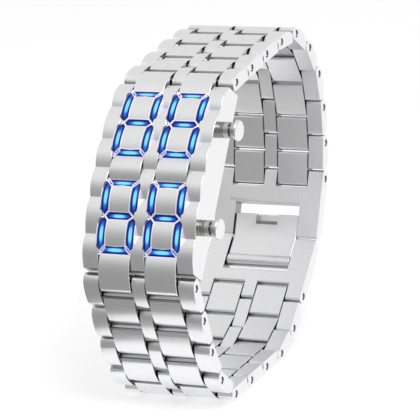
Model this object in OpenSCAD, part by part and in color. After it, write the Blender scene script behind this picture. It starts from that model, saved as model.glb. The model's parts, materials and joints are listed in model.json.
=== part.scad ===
// Bracelet watch with lit digits.
// Every piece is drawn flat: X runs across the band, Y along it and Z away from the wrist.
// The loop functions then lay the pieces round the closed bracelet, which stands on three links.

/* [Band] */
// Width of the bracelet and of the case
band_w = 26; // [24:0.5:30]
// Width of the column of links along the middle
centre_w = 3.3; // [2.6:0.1:4]
// Width of the column of links along each edge
edge_w = 3.75; // [3:0.05:4.5]
// Gap between two columns that turn against each other
column_gap = 0.3; // [0.2:0.05:0.5]

/* [Links] */
// Distance from one hinge to the next
pitch = 8.3; // [7.9:0.1:8.7]
// Thickness of a link
link_t = 3.2; // [2.8:0.1:3.6]
// Gap between two links in one column, at half their thickness
link_gap = 0.45; // [0.35:0.05:0.7]
// Rounding of a link's outer face at both ends
outer_round = 1.6; // [1:0.05:1.6]
// Rounding of the inner edge of an end that turns
turn_round = 0.8; // [0.6:0.05:1]
// Rounding of the inner edge of an end that stands still
still_round = 0.45; // [0.2:0.05:0.7]
// How far the bridge between two columns lies under the faces of the link
bridge_drop = 0.55; // [0.3:0.05:0.8]
// Radius of a hinge pin
pin_r = 0.6; // [0.5:0.05:0.75]
// How deep a pin end lies under the side of the band
pin_drop = 0.25; // [0.1:0.05:0.5]

/* [Shape of the closed bracelet] */
// Turn in degrees at each upper hinge, from the case to the clasp
curl_angles_a = [0, 2.5, 6, 34.5, 24.5, 21, 11.5, 9];
// Turn in degrees at each lower hinge, from the case to the clasp
curl_angles_b = [1, 7.5, 24, 42, 0, 0, 22, 17.5];
// Lean of the upper half of the clasp, measured from the case
clasp_lean = 169.5; // [166:0.5:173]
// Bend between the two halves of the clasp
clasp_bend = 22; // [18:1:26]

/* [Case] */
// Distance from the digits' ends to the hinges of the case
end_l = 4.85; // [4.5:0.05:6]
// Height of the face over the line through the two hinges
face_h = 7.2; // [6.8:0.1:8]
// Radius of the long curve of the face
face_r = 65; // [55:1:90]
// Where the digits' common middle lies, above the middle of the case
face_mid = 0.5; // [-1:0.1:1]
// How far the back lies under the line through the two hinges
back_drop = 2; // [1.9:0.1:2.4]
// Slope of the case's two ends in degrees
end_slope = 34; // [31:1:37]
// How far the valleys between the face's ridges lie under the face
ridge_drop = 0.8; // [0.5:0.05:0.9]
// Metal between the face and the inside
face_t = 1.9; // [1.8:0.05:2]
// Thickness of the side walls
wall_t = 2.4; // [2.2:0.1:2.6]

/* [Digits] */
// How far a digit reaches past its column of links, on each side
digit_past = 0.5; // [0.3:0.05:0.7]
// Height of a digit
digit_h = 15.7; // [15:0.1:16]
// Gap between the upper and the lower pair of digits
digit_gap = 5.4; // [5:0.1:6]
// Width of the bars that lie across
bar_across = 1.5; // [1.2:0.1:1.8]
// Width of the bars that stand
bar_along = 1.75; // [1.4:0.05:2]
// Metal left between two bars
bar_gap = 0.5; // [0.3:0.05:0.7]
// How deep the bars lie under the metal
bar_drop = 0.15; // [0.05:0.05:0.3]
// Gap between a lit bar and its slot
lens_fit = 0.04; // [0.02:0.01:0.08]
// How far the curved inner edge of an end bar bows
end_bar_bow = 0.2; // [0.1:0.05:0.3]
// Room inside the case past the outer digits' ends
digit_room = 0.5; // [0.3:0.1:0.6]
// Rim of the clear plate round each digit
lens_rim = 0.4; // [0.3:0.05:0.45]

/* [Back] */
// Thickness of the back cover
cover_t = 0.9; // [0.7:0.1:1]
// Thickness of the gasket under it
gasket_t = 0.3; // [0.2:0.05:0.4]
// Metal left round the cover
cover_rim = 0.6; // [0.5:0.05:0.7]
// Radius of a back screw's thread
screw_r = 0.45; // [0.4:0.05:0.5]
// Radius of a back screw's head
screw_head_r = 0.8; // [0.7:0.05:0.85]
// How far each screw lies from the end of the back cover
screw_inset = 3.75; // [3:0.05:5]
// Length of a back screw
screw_l = 3; // [2.5:0.1:3.2]

/* [Electronics] */
// Radius of a coin cell
cell_r = 8; // [7.5:0.1:8.2]
// Thickness of a coin cell
cell_t = 2; // [1.6:0.1:2]
// Thickness of the circuit board
board_t = 0.6; // [0.5:0.05:0.7]
// Height of a light-emitting diode
led_h = 0.45; // [0.3:0.05:0.5]
// Length of a light-emitting diode
led_l = 1.6; // [1:0.1:2]
// Width of a light-emitting diode
led_w = 0.8; // [0.5:0.1:1]
// Width of the timing chip and of its crystal
chip_w = 4.8; // [3:0.1:6]
// Thickness of the sheet-metal contacts
sheet_t = 0.15; // [0.1:0.05:0.2]
// Air between two parts of the stack
stack_gap = 0.06; // [0.05:0.01:0.1]
// Distance between the two coin cells
cell_gap = 0.6; // [0.4:0.1:1]
// Width of the clip over the cells
strap_w = 8; // [6:0.5:10]
// Width of the window in the clip
strap_hole_w = 4; // [3:0.5:5]
// Length of each window in the clip
strap_hole_l = 10; // [8:0.5:12]
// Gap between the board's edge and the case
board_room = 0.3; // [0.2:0.05:0.5]
// Length of the timing chip
chip_l = 2.8; // [2:0.1:4]
// Length of the crystal beside it
crystal_l = 1.1; // [1:0.1:2]
// Gap between the chip and the crystal
chip_gap = 0.5; // [0.4:0.1:1]
// Width of a switch contact
contact_w = 1.2; // [1:0.1:1.6]

/* [Buttons] */
// How far each button lies past the middle of its digits
button_past = 0.45; // [0:0.05:0.9]
// Height of the buttons over the hinge line
button_height = 3.6; // [3.4:0.1:3.7]
// Travel of a button
button_travel = 0.5; // [0.3:0.05:0.5]
// Length of the fixed barrel outside the case
barrel_l = 2.5; // [2.3:0.1:3]
// Radius of the barrel and of the button's collar
barrel_r = 1.75; // [1.6:0.05:1.9]
// Depth of the grooves round the barrel
groove_d = 0.12; // [0.08:0.02:0.2]
// Length of each rib between the grooves
rib_l = 0.35; // [0.25:0.05:0.45]
// Radius of the barrel's end that is pressed into the wall
spigot_r = 1.15; // [1:0.05:1.2]
// Radius of the button's neck
neck_r = 1.15; // [1.05:0.05:1.2]
// Radius of the button's stem
stem_r = 0.4; // [0.35:0.05:0.5]
// Radius of the button's cap
cap_r = 2.3; // [2:0.1:2.5]
// Length of the cap
cap_l = 0.8; // [0.6:0.1:1.2]
// Rounding of the cap's rim
cap_round = 0.5; // [0.3:0.05:0.6]
// Length of the collar under the cap
collar_l = 0.8; // [0.5:0.1:1.2]
// Air left between the pressed button and its barrel
press_room = 0.1; // [0.05:0.05:0.2]
// Depth of the spring's chamber, from the case's side
chamber_d = 0.6; // [0.4:0.1:0.8]
// Length of the spring
spring_l = 0.5; // [0.4:0.05:0.6]
// Radius of the spring's wire
wire_r = 0.1; // [0.08:0.01:0.12]
// Turns of the spring
coil_turns = 3; // [2:1:4]
// Radius of the rubber seal's cross-section
seal_r = 0.17; // [0.15:0.01:0.2]
// How far the seal lies under the barrel's mouth
seal_d = 0.6; // [0.5:0.05:0.8]
// Radius of the clip that holds the stem
clip_r = 0.65; // [0.6:0.01:0.66]
// Thickness of that clip
clip_t = 0.25; // [0.2:0.05:0.3]
// Depth of the clip's groove in the stem
stem_groove = 0.12; // [0.08:0.01:0.15]
// Opening of the clip
clip_gap = 0.4; // [0.3:0.05:0.5]
// How far the stem's tip reaches into the case
stem_reach = 0.9; // [0.8:0.05:1]
// Room in front of the stem's tip for the contact
contact_room = 0.7; // [0.6:0.05:0.9]
// Length of the contact's foot
contact_foot = 0.6; // [0.4:0.1:0.8]

/* [Clasp] */
// Distance from the last hinge to the middle of the clasp, in each half
clasp_l = 14.5; // [14:0.1:15]
// Gap between the rails of the two halves
rail_gap = 0.7; // [0.6:0.05:1]
// Width of a rail
rail_w = 5; // [4.5:0.1:5.5]
// Where the upper half's crosspiece ends
upper_bar_end = 6.5; // [6:0.1:7]
// Where the lower half's crosspiece ends
lower_bar_end = 5.6; // [5:0.1:6]
// Distance from the latch's hinge to the middle of the clasp
latch_hinge = 6.1; // [5.8:0.1:6.2]
// How far the latch reaches into the upper half
latch_reach = 5.6; // [5:0.1:5.8]
// Thickness of the latch
latch_t = 2.4; // [2:0.1:2.8]
// Gap between the latch and the rails
latch_gap = 0.2; // [0.15:0.05:0.3]
// Width of the finger notch in the latch
notch_w = 5.3; // [4.5:0.1:6]
// Depth of the finger notch
notch_d = 1.6; // [1:0.1:2]
// How far the notch is sunk into the latch's inner face
notch_t = 1.4; // [1:0.1:1.8]
// Rounding of the latch's edges
latch_round = 0.2; // [0.1:0.05:0.4]
// Radius of the two bumps that hold the latch shut
bump_r = 0.45; // [0.35:0.05:0.5]
// How far each bump stands out of the latch's side
bump_out = 0.1; // [0.05:0.01:0.15]
// Distance from the middle of the clasp to the bumps
bump_at = 3.4; // [3:0.1:4]

/* [Fits] */
// Gap all round a pin that turns in its bore
run_gap = 0.05; // [0.03:0.01:0.08]
// Gap all round a pin or tube that is pressed in
press_gap = 0.01; // [0.01:0.005:0.02]

/* [Hidden] */
link_count = 9;
arc_steps = 5;
ridge_steps = 6;
curve_steps = 24;
lap = 0.1;
cut = 1;
core_drop = 0.4;
wide_w = (band_w - centre_w - 2 * edge_w) / 2;
wide_x = (centre_w + wide_w) / 2;
edge_x = band_w / 2 - edge_w;
digit_w = wide_w + 2 * digit_past;
hinge_span = digit_gap + 2 * digit_h + 2 * end_l;
button_at = (digit_gap + digit_h) / 2 + button_past;
quarter = pitch / 4;
turn_end = quarter - link_gap / 2;
still_end = quarter + link_gap / 2;
steel = [0.74, 0.74, 0.75];
bright = [0.9, 0.9, 0.92];

// The loop, worked out in the case's own frame, as points along the band and out from the wrist
function dir(a) = [cos(a), sin(a)];
function turn(p, a) = [p.x * cos(a) - p.y * sin(a), p.x * sin(a) + p.y * cos(a)];
function angle_of(p) = atan2(p.y, p.x);
function bent(curls, side, k) = k == 0 ? 0 : bent(curls, side, k - 1) + side * curls[k - 1];
function reach(curls, side, k) =
    k == 0 ? [0, 0] : reach(curls, side, k - 1) + pitch * dir(bent(curls, side, k - 1));

hinge_a = [hinge_span / 2, 0];
hinge_b = [-hinge_span / 2, 0];
upper_head = -clasp_lean;
lower_head = 180 - clasp_lean - clasp_bend;
clasp_span = clasp_l * dir(upper_head) - clasp_l * dir(lower_head);
reach_a = reach(curl_angles_a, -1, link_count);
reach_b = reach(curl_angles_b, 1, link_count);
// Both halves turn about their first hinges until their ends meet the closed clasp
far_hinge = hinge_b - clasp_span;
far_l = norm(far_hinge - hinge_a);
far_dir = (far_hinge - hinge_a) / far_l;
meet_along = (pow(norm(reach_a), 2) - pow(norm(reach_b), 2) + far_l * far_l) / (2 * far_l);
meet_out = sqrt(pow(norm(reach_a), 2) - meet_along * meet_along);
last_a = hinge_a + meet_along * far_dir + meet_out * [-far_dir.y, far_dir.x];
last_b = last_a + clasp_span;
first_head_a = angle_of(last_a - hinge_a) - angle_of(reach_a);
first_head_b = angle_of(last_b - hinge_b) - angle_of(reach_b) + 360;

function point_a(k) = hinge_a + turn(reach(curl_angles_a, -1, k), first_head_a);
function point_b(k) = hinge_b + turn(reach(curl_angles_b, 1, k), first_head_b);
function head_a(k) = k == link_count ? upper_head : first_head_a + bent(curl_angles_a, -1, k);
function head_b(k) = k == link_count ? lower_head : first_head_b + bent(curl_angles_b, 1, k);

// Lays a flat piece into the loop: its hinge at p, its length along the heading
module lay(p, heading) {
    q = turn(p, stand);
    translate([mid_x, q.x + mid_y, q.y + mid_z]) rotate([heading + stand, 0, 0]) children();
}
module in_case() lay([0, 0], 0) children();
module in_a(k) lay(point_a(k), head_a(k)) children();
module in_b(k) lay(point_b(k), head_b(k)) mirror([0, 0, 1]) children();

// Draws an outline given along and out, across the band from x0 to x1
module slab(x0, x1) {
    translate([x0, 0, 0]) rotate([90, 0, 90]) linear_extrude(x1 - x0) children();
}
module rod(x0, x1, r) {
    translate([x0, 0, 0]) rotate([0, 90, 0]) cylinder(h = x1 - x0, r = r, $fn = 32);
}
module block(x, u, n) {
    translate([x[0], u[0], n[0]]) cube([x[1] - x[0], u[1] - u[0], n[1] - n[0]]);
}
function around(middle, width) = [middle - width / 2, middle + width / 2];
function corner(u, n, r, from) =
    [for (i = [0:arc_steps]) [u, n] + r * dir(from + 90 * i / arc_steps)];
// Outline of a plate from u0 to u1, with one rounding outside and one at each end inside
function plate(u0, u1, t, out, r0, r1) = concat(
    corner(u1 - out, t / 2 - out, out, 0),
    corner(u0 + out, t / 2 - out, out, 90),
    corner(u0 + r0, r0 - t / 2, r0, 180),
    corner(u1 - r1, r1 - t / 2, r1, 270));

// The links
module link_tab(x0, x1, u1) {
    slab(x0, x1) polygon(plate(-turn_end, u1, link_t, outer_round, turn_round, still_round));
}
module tabs(edge_u1, centre_u1) {
    link_tab(-centre_w / 2 + column_gap / 2, centre_w / 2 - column_gap / 2, centre_u1);
    for (s = [0, 1]) mirror([s, 0, 0]) link_tab(edge_x + column_gap / 2, band_w / 2, edge_u1);
}
module link() {
    tab_u1 = pitch - still_end;
    color(steel) difference() {
        union() {
            tabs(tab_u1, tab_u1);
            for (s = [-1, 1])
                slab(s * wide_x - wide_w / 2 + column_gap / 2, s * wide_x + wide_w / 2 - column_gap / 2)
                    polygon(plate(still_end, pitch + turn_end, link_t, outer_round, still_round, turn_round));
            block(around(0, 2 * (edge_x + column_gap)),
                  [still_end + still_round, tab_u1 - still_round],
                  around(0, link_t - 2 * bridge_drop));
        }
        rod(-band_w, band_w, pin_r + press_gap);
        translate([0, pitch, 0]) rod(-edge_x, edge_x, pin_r + run_gap);
    }
}
module hinge_pin() {
    color(bright) rod(pin_drop - band_w / 2, band_w / 2 - pin_drop, pin_r);
}

// The case: a ridged shell whose ends carry the first hinges
inside_x = band_w / 2 - wall_t;
narrow_end = hinge_span / 2 - still_end;
digit_mids = [face_mid - (digit_gap + digit_h) / 2, face_mid + (digit_gap + digit_h) / 2];
wide_edges = [for (m = digit_mids, s = [-1, 0, 1]) m + s * digit_h / 2];
narrow_edges = concat([-narrow_end], [for (k = [0:4]) (wide_edges[k] + wide_edges[k + 1]) / 2], [narrow_end]);
tip = hinge_a + (turn_end - outer_round) * dir(-end_slope) + link_t / 2 * dir(90 - end_slope);
heel = hinge_a + (turn_end - turn_round) * dir(-end_slope) - link_t / 2 * dir(90 - end_slope);
inside_ends = [wide_edges[0] - digit_room, wide_edges[5] + digit_room];
cover_u = narrow_end - cover_rim;
cover_x = band_w / 2 - cover_rim;
screw_at = cover_u - screw_inset;
ledge_n = cover_t + gasket_t - back_drop;
cell_n = cover_t - back_drop + stack_gap;
clip_n = cell_n + cell_t + stack_gap;
board_n = clip_n + sheet_t + stack_gap;
led_n = board_n + board_t;
lens_n = led_n + led_h + stack_gap;
chip_u = face_mid - (chip_l + chip_gap + crystal_l) / 2;
crystal_u = chip_u + chip_l + chip_gap;

// Height of the face without its ridges: a long curve, then a slope down to each end
function arc_n(u) = face_h - pow(u - face_mid, 2) / (2 * face_r);
function blend(a, b, t) = a + (b - a) * t;
function end_slope_n(u0, t) = blend(arc_n(u0), tip.y + ridge_drop, t);
function face(u) =
    let (low = wide_edges[0], high = wide_edges[5])
    u < low ? end_slope_n(low, (low - u) / (low + tip.x))
    : u > high ? end_slope_n(high, (u - high) / (tip.x - high))
    : arc_n(u);
function ridge(u0, u1, drop) = [for (i = [0:ridge_steps]) let (t = i / ridge_steps, u = blend(u0, u1, t))
    [u, face(u) - ridge_drop * pow(2 * t - 1, 2) - drop]];
function ridges(edges, drop) = [for (k = [0:len(edges) - 2]) each ridge(edges[k], edges[k + 1], drop)];
function wide_outline(drop) = concat(ridges(concat([-tip.x], wide_edges, [tip.x]), drop),
    [heel, [heel.x - link_t / 2, -back_drop], [link_t / 2 - heel.x, -back_drop], [-heel.x, heel.y]]);
function narrow_outline() =
    concat(ridges(narrow_edges, 0), [[narrow_end, -back_drop], [-narrow_end, -back_drop]]);
function inner_outline(drop) = [for (i = [0:curve_steps])
    let (u = blend(inside_ends[0], inside_ends[1], i / curve_steps))
    [u, min(face(u), arc_n(u)) - face_t - drop]];

// The fifth to seventh lower links lie flat. The corners turned out beside them touch the surface,
// and the box's base centre is the origin
function corner_reach(slope) =
    (turn_end - outer_round) * sin(slope) + (link_t / 2 - outer_round) * cos(slope) + outer_round;
stand_tilt = asin((corner_reach(curl_angles_b[3]) - corner_reach(curl_angles_b[6])) / (3 * pitch));
stand = -head_b(4) - stand_tilt;
button_out = barrel_l + button_travel + press_room + collar_l + cap_l;
back_ys = concat([for (k = [0:link_count]) turn(point_a(k), stand).x],
                 [for (k = [0:link_count]) turn(point_b(k), stand).x]);
front_ys = [for (i = [0:curve_steps]) let (u = blend(-hinge_a.x, hinge_a.x, i / curve_steps))
    turn([u, face(u)], stand).x];
mid_x = -button_out / 2;
mid_y = -(max(back_ys) + corner_reach(curl_angles_a[5]) + min(front_ys)) / 2;
mid_z = corner_reach(curl_angles_b[3] + stand_tilt) - turn(point_b(4), stand).y;

module case_knuckle(x0, x1) {
    for (s = [0, 1]) mirror([0, s, 0]) translate([0, hinge_a.x, 0])
        slab(x0, x1) rotate(-end_slope)
            polygon(plate(-turn_end, turn_end, link_t, outer_round, turn_round, turn_round));
}
module case_columns() {
    for (s = [0, 1]) mirror([s, 0, 0]) {
        slab(centre_w / 2 + column_gap / 2, edge_x - column_gap / 2) polygon(wide_outline(0));
        case_knuckle(centre_w / 2 + column_gap / 2, edge_x - column_gap / 2);
        slab(edge_x, band_w / 2) polygon(narrow_outline());
    }
    slab(-centre_w / 2, centre_w / 2) polygon(narrow_outline());
    slab(-edge_x - lap, edge_x + lap) polygon(concat(
        [for (i = [0:curve_steps]) let (u = blend(-narrow_end, narrow_end, i / curve_steps))
            [u, face(u) - ridge_drop - core_drop]],
        [[narrow_end, -back_drop], [-narrow_end, -back_drop]]));
}
module case_inside() {
    slab(-inside_x, inside_x) polygon(concat(inner_outline(0),
        [[inside_ends[1], -back_drop - cut], [inside_ends[0], -back_drop - cut]]));
    block([-cover_x, cover_x], [-cover_u, cover_u], [-back_drop - cut, ledge_n]);
}
module at_screws() {
    for (x = [-1, 1], u = [-1, 1])
        translate([x * (inside_x + cover_x) / 2, u * screw_at, 0]) children();
}
module at_buttons() {
    for (u = [-button_at, button_at]) at_button(u) children();
}
module at_button(u) {
    translate([0, u, button_height]) children();
}

// One digit's seven bars, as outlines seen from the front. Widened by g all round, a bar keeps its
// 45 degree ends
function bar(l, w, g) = let (a = l / 2 + 1.5 * g, b = w / 2 + g)
    [[-a, 0], [b - a, b], [a - b, b], [a, 0], [a - b, -b], [b - a, -b]];
function end_bar(l, w, g) = let (a = l / 2 + 2.5 * g, b = w / 2 + g)
    [[-a, b], [a, b], [a - 2 * b, -b], [0, end_bar_bow - b], [2 * b - a, -b]];
module digit(g) {
    across_l = digit_w - sqrt(2) * bar_gap;
    along_l = digit_h / 2 - bar_gap;
    middle_l = digit_w - bar_along - sqrt(2) * bar_gap;
    for (s = [0, 1]) mirror([0, s]) {
        translate([0, (digit_h - bar_across) / 2]) polygon(end_bar(across_l, bar_across, g));
        for (x = [-1, 1]) translate([x * (digit_w - bar_along) / 2, digit_h / 4]) rotate(90)
            polygon(bar(along_l, bar_along, g));
    }
    polygon(bar(middle_l, bar_across, g));
}
module digits(grow) {
    for (s = [-1, 1], m = digit_mids) translate([s * wide_x, m]) digit(grow);
}
module case_body() {
    color(steel) difference() {
        case_columns();
        case_inside();
        linear_extrude(face_h + cut) digits(lens_fit);
        for (u = [-1, 1]) translate([0, u * hinge_a.x, 0]) rod(-edge_x, edge_x, pin_r + run_gap);
        at_buttons() rod(inside_x - lap, band_w, spigot_r + press_gap);
        at_screws() translate([0, 0, -back_drop - cut])
            cylinder(h = cut + screw_l + stack_gap, r = screw_r + run_gap, $fn = 24);
    }
}

// What the case holds
module digit_lenses() {
    color([0.1, 0.45, 0.95]) difference() {
        union() {
            intersection() {
                translate([0, 0, lens_n]) linear_extrude(face_h) digits(0);
                slab(-band_w, band_w) polygon(wide_outline(bar_drop));
            }
            intersection() {
                for (s = [-1, 1], m = digit_mids) translate([s * wide_x, m, lens_n])
                    block(around(0, digit_w + 2 * lens_rim), around(0, digit_h + 2 * lens_rim), [0, face_h]);
                slab(-inside_x, inside_x) polygon(concat(inner_outline(lens_fit),
                    [[inside_ends[1], 0], [inside_ends[0], 0]]));
            }
        }
        at_buttons() translate([0, 0, -button_height])
            block([notch_x, inside_x], [-cut, cut], [0, button_height + clip_r + lap]);
    }
}
module case_back() {
    color(steel) difference() {
        block([run_gap - cover_x, cover_x - run_gap], [run_gap - cover_u, cover_u - run_gap],
              [-back_drop, cover_t - back_drop]);
        at_screws() {
            translate([0, 0, -back_drop - cut]) cylinder(h = cut + screw_l, r = screw_r + run_gap, $fn = 24);
            translate([0, 0, -back_drop - cut])
                cylinder(h = cut + cover_t / 2, r = screw_head_r + run_gap, $fn = 24);
        }
    }
}
module back_gasket() {
    color([0.1, 0.1, 0.1]) difference() {
        block([run_gap - cover_x, cover_x - run_gap], [run_gap - cover_u, cover_u - run_gap],
              [cover_t - back_drop, ledge_n]);
        block([-inside_x, inside_x], inside_ends, [-back_drop, ledge_n + cut]);
        at_screws() translate([0, 0, -back_drop]) cylinder(h = screw_l, r = screw_r + run_gap, $fn = 24);
    }
}
module back_screws() {
    color(bright) at_screws() {
        translate([0, 0, -back_drop]) cylinder(h = cover_t / 2, r = screw_head_r, $fn = 24);
        translate([0, 0, -back_drop]) cylinder(h = screw_l, r = screw_r, $fn = 24);
    }
}
module battery_cells() {
    color([0.8, 0.8, 0.78]) for (s = [-1, 1]) translate([0, face_mid + s * (cell_r + cell_gap / 2), cell_n])
        cylinder(h = cell_t, r = cell_r, $fn = 64);
}
module battery_clip() {
    color([0.85, 0.75, 0.4]) difference() {
        block(around(0, strap_w), around(face_mid, 4 * cell_r), [clip_n, clip_n + sheet_t]);
        for (s = [-1, 1]) translate([0, face_mid + s * cell_r, 0])
            block(around(0, strap_hole_w), around(0, strap_hole_l), [0, face_h]);
    }
}
module led_board() {
    color([0.05, 0.3, 0.15]) block([board_room - inside_x, inside_x - board_room],
        inside_ends + [board_room, -board_room], [board_n, led_n]);
}
module leds() {
    color([0.95, 0.95, 0.85]) for (s = [-1, 1], m = digit_mids) translate([s * wide_x, m, led_n]) {
        for (v = [-1, 0, 1])
            block(around(0, led_l), around(v * (digit_h - bar_across) / 2, led_w), [0, led_h]);
        for (x = [-1, 1], v = [-1, 1])
            block(around(x * (digit_w - bar_along) / 2, led_w), around(v * digit_h / 4, led_l), [0, led_h]);
    }
}
module timing_module() {
    color([0.08, 0.08, 0.09]) block(around(0, chip_w), [chip_u, chip_u + chip_l], [led_n, led_n + led_h]);
    color(bright) block(around(0, chip_w), [crystal_u, crystal_u + crystal_l], [led_n, led_n + led_h]);
}

// The two push buttons
stem_tip = inside_x - stem_reach;
notch_x = stem_tip - button_travel - contact_room;
contact_x = notch_x + run_gap + lap;
chamber_x = band_w / 2 + chamber_d;
spring_r = (stem_r + neck_r) / 2;
neck_x = chamber_x + spring_l + button_travel + press_room;
barrel_x = band_w / 2 + barrel_l;
collar_x = barrel_x + button_travel + press_room;
seal_x = barrel_x - seal_d;
groove_x = inside_x - clip_t - 2 * run_gap;

module button_tubes() {
    color(steel) at_buttons() difference() {
        union() {
            rod(inside_x, band_w / 2, spigot_r);
            rod(band_w / 2, barrel_x, barrel_r - groove_d);
            for (k = [0:3])
                translate([blend(band_w / 2, barrel_x - rib_l, k / 3), 0, 0]) rod(0, rib_l, barrel_r);
        }
        rod(inside_x - cut, band_w, stem_r + run_gap);
        rod(chamber_x, band_w, neck_r + run_gap);
        rod(seal_x - seal_r, seal_x + seal_r, neck_r + 2 * seal_r + run_gap);
    }
}
module button_seals() {
    color([0.1, 0.1, 0.1]) at_buttons() translate([seal_x, 0, 0]) rotate([0, 90, 0])
        rotate_extrude($fn = 32) translate([neck_r + run_gap / 2 + seal_r, 0]) circle(r = seal_r, $fn = 16);
}
// One unbroken coil: rings of points along a helix round the stem
ring_points = 6;
turn_rings = 10;
coil_rings = coil_turns * turn_rings;
function coil_ring(i) = let (a = 360 * i / turn_rings, x = wire_r + (spring_l - 2 * wire_r) * i / coil_rings)
    [for (j = [0:ring_points - 1]) let (b = 360 * j / ring_points, r = spring_r + wire_r * cos(b))
        [x + wire_r * sin(b), r * cos(a), r * sin(a)]];
module coil() {
    points = [for (i = [0:coil_rings]) each coil_ring(i)];
    sides = [for (i = [0:coil_rings - 1], j = [0:ring_points - 1])
        let (a = ring_points * i + j, b = ring_points * i + (j + 1) % ring_points)
            each [[a, b, b + ring_points], [a, b + ring_points, a + ring_points]]];
    ends = [[for (j = [0:ring_points - 1]) ring_points - 1 - j],
            [for (j = [0:ring_points - 1]) ring_points * coil_rings + j]];
    polyhedron(points, concat(sides, ends));
}
module button_springs() {
    color(bright) at_buttons() translate([chamber_x, 0, 0]) coil();
}
module switch_contacts() {
    color([0.85, 0.75, 0.4]) at_buttons() translate([0, 0, -button_height]) {
        block([contact_x, contact_x + sheet_t], around(0, contact_w), [led_n, button_height + stem_r]);
        block([contact_x - contact_foot, contact_x], around(0, contact_w), [led_n, led_n + sheet_t]);
    }
}
module button(u) {
    color(bright) at_button(u) difference() {
        union() {
            rod(stem_tip, neck_x + lap, stem_r);
            rod(neck_x, collar_x + lap, neck_r);
            rod(collar_x, collar_x + collar_l, barrel_r);
            translate([collar_x + collar_l, 0, 0]) rotate([0, 90, 0]) rotate_extrude($fn = 48)
                polygon(concat([[0, 0], [cap_r - cap_l + cap_round, 0]],
                    corner(cap_r - cap_round, cap_l - cap_round, cap_round, 0), [[0, cap_l]]));
        }
        difference() {
            rod(groove_x, groove_x + clip_t + run_gap, stem_r + cut);
            rod(groove_x - cut, inside_x, stem_r - stem_groove);
        }
    }
}
module button_clip(u) {
    color([0.3, 0.3, 0.32]) at_button(u) translate([groove_x + run_gap / 2, 0, 0]) difference() {
        rod(0, clip_t, clip_r);
        rod(-cut, cut, stem_r - stem_groove + press_gap);
        block([-cut, cut], around(0, clip_gap), [0, clip_r + cut]);
    }
}

// The clasp
rail_x = band_w / 2 - rail_w;
rail_end = clasp_l - rail_gap / 2;
latch_pin_at = clasp_l - latch_hinge;
latch_x = rail_x - latch_gap;
module frame_half(bar_end) {
    tabs(rail_end, bar_end);
    slab(-edge_x - column_gap, edge_x + column_gap)
        polygon(plate(still_end, bar_end, link_t, still_round, still_round, still_round));
    for (s = [0, 1]) mirror([s, 0, 0]) slab(rail_x, edge_x + column_gap)
        polygon(plate(still_end, rail_end, link_t, still_round, still_round, still_round));
}
module clasp_frame_upper() {
    color(steel) difference() {
        frame_half(upper_bar_end);
        rod(-band_w, band_w, pin_r + press_gap);
    }
}
module clasp_frame_lower() {
    color(steel) difference() {
        frame_half(lower_bar_end);
        rod(-band_w, band_w, pin_r + press_gap);
        translate([0, latch_pin_at, 0]) rod(-band_w, band_w, pin_r + press_gap);
    }
}
module clasp_latch() {
    color(bright) difference() {
        union() {
            translate([0, latch_pin_at, 0]) rod(-latch_x, latch_x, link_t / 2 - lap);
            slab(-latch_x, latch_x)
                latch_plate(latch_pin_at, clasp_l + latch_round, latch_round);
            in_blade() slab(-latch_x, latch_x)
                latch_plate(-still_round, latch_reach, still_round);
            for (s = [-1, 1]) in_blade() translate([s * (latch_x + bump_out - bump_r), bump_at, 0])
                sphere(r = bump_r, $fn = 24);
        }
        translate([0, latch_pin_at, 0]) rod(-band_w, band_w, pin_r + run_gap);
        in_blade() block(around(0, notch_w), [latch_reach - notch_d, latch_reach + cut],
                         [-latch_t, notch_t - latch_t / 2]);
    }
}
module latch_plate(u0, u1, end_round) {
    polygon(plate(u0, u1, latch_t, latch_round, latch_round, end_round));
}
// The latch bends with the clasp, so its blade lies along the upper half
module in_blade() {
    translate([0, clasp_l, 0]) rotate([-clasp_bend, 0, 0]) children();
}

in_case() case_body();
in_case() case_back();
in_case() back_gasket();
in_case() back_screws();
in_case() digit_lenses();
in_case() led_board();
in_case() leds();
in_case() timing_module();
in_case() battery_cells();
in_case() battery_clip();
in_case() switch_contacts();
in_case() button_tubes();
in_case() button_seals();
in_case() button_springs();
in_case() button(button_at);  // button_upper
in_case() button(-button_at);  // button_lower
in_case() button_clip(button_at);  // button_clip_upper
in_case() button_clip(-button_at);  // button_clip_lower
for (k = [1:link_count]) {
    in_a(k - 1) link();
    in_b(k - 1) link();
    in_a(k - 1) hinge_pin();
    in_b(k - 1) hinge_pin();
}
in_a(link_count) clasp_frame_upper();
in_a(link_count) hinge_pin();  // clasp_pin_upper
in_b(link_count) clasp_frame_lower();
in_b(link_count) hinge_pin();  // clasp_pin_lower
in_b(link_count) clasp_latch();
in_b(link_count) translate([0, latch_pin_at, 0]) hinge_pin();  // latch_pin
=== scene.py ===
"""Looks of the bracelet watch with lit digits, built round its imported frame.

Each piece is drawn flat in millimetres: X runs across the band, Y along it and Z away from the wrist.
It is then laid into the closed loop by the frame's own hinges.
"""

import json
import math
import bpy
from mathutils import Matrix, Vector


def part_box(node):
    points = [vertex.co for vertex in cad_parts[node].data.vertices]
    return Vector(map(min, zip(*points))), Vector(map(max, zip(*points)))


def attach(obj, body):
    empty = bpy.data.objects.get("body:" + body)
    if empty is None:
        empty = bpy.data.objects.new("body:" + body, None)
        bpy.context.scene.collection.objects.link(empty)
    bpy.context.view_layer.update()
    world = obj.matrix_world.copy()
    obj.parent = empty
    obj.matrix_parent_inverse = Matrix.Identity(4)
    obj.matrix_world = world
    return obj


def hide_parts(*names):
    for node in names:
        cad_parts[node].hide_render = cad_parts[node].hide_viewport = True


bl_info = {
    "name": "Bracelet watch with lit digits",
    "version": (1, 0, 0),
    "blender": (4, 5, 0),
    "location": "3D View > Sidebar > Watch",
    "description": "Steel links, ridged case, lit bars, buttons, clasp and a plain studio",
    "category": "Object",
}

import bmesh
import bpy
from bpy.props import FloatProperty, FloatVectorProperty, PointerProperty
from mathutils import Matrix, Vector
from mathutils.geometry import delaunay_2d_cdt

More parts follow.
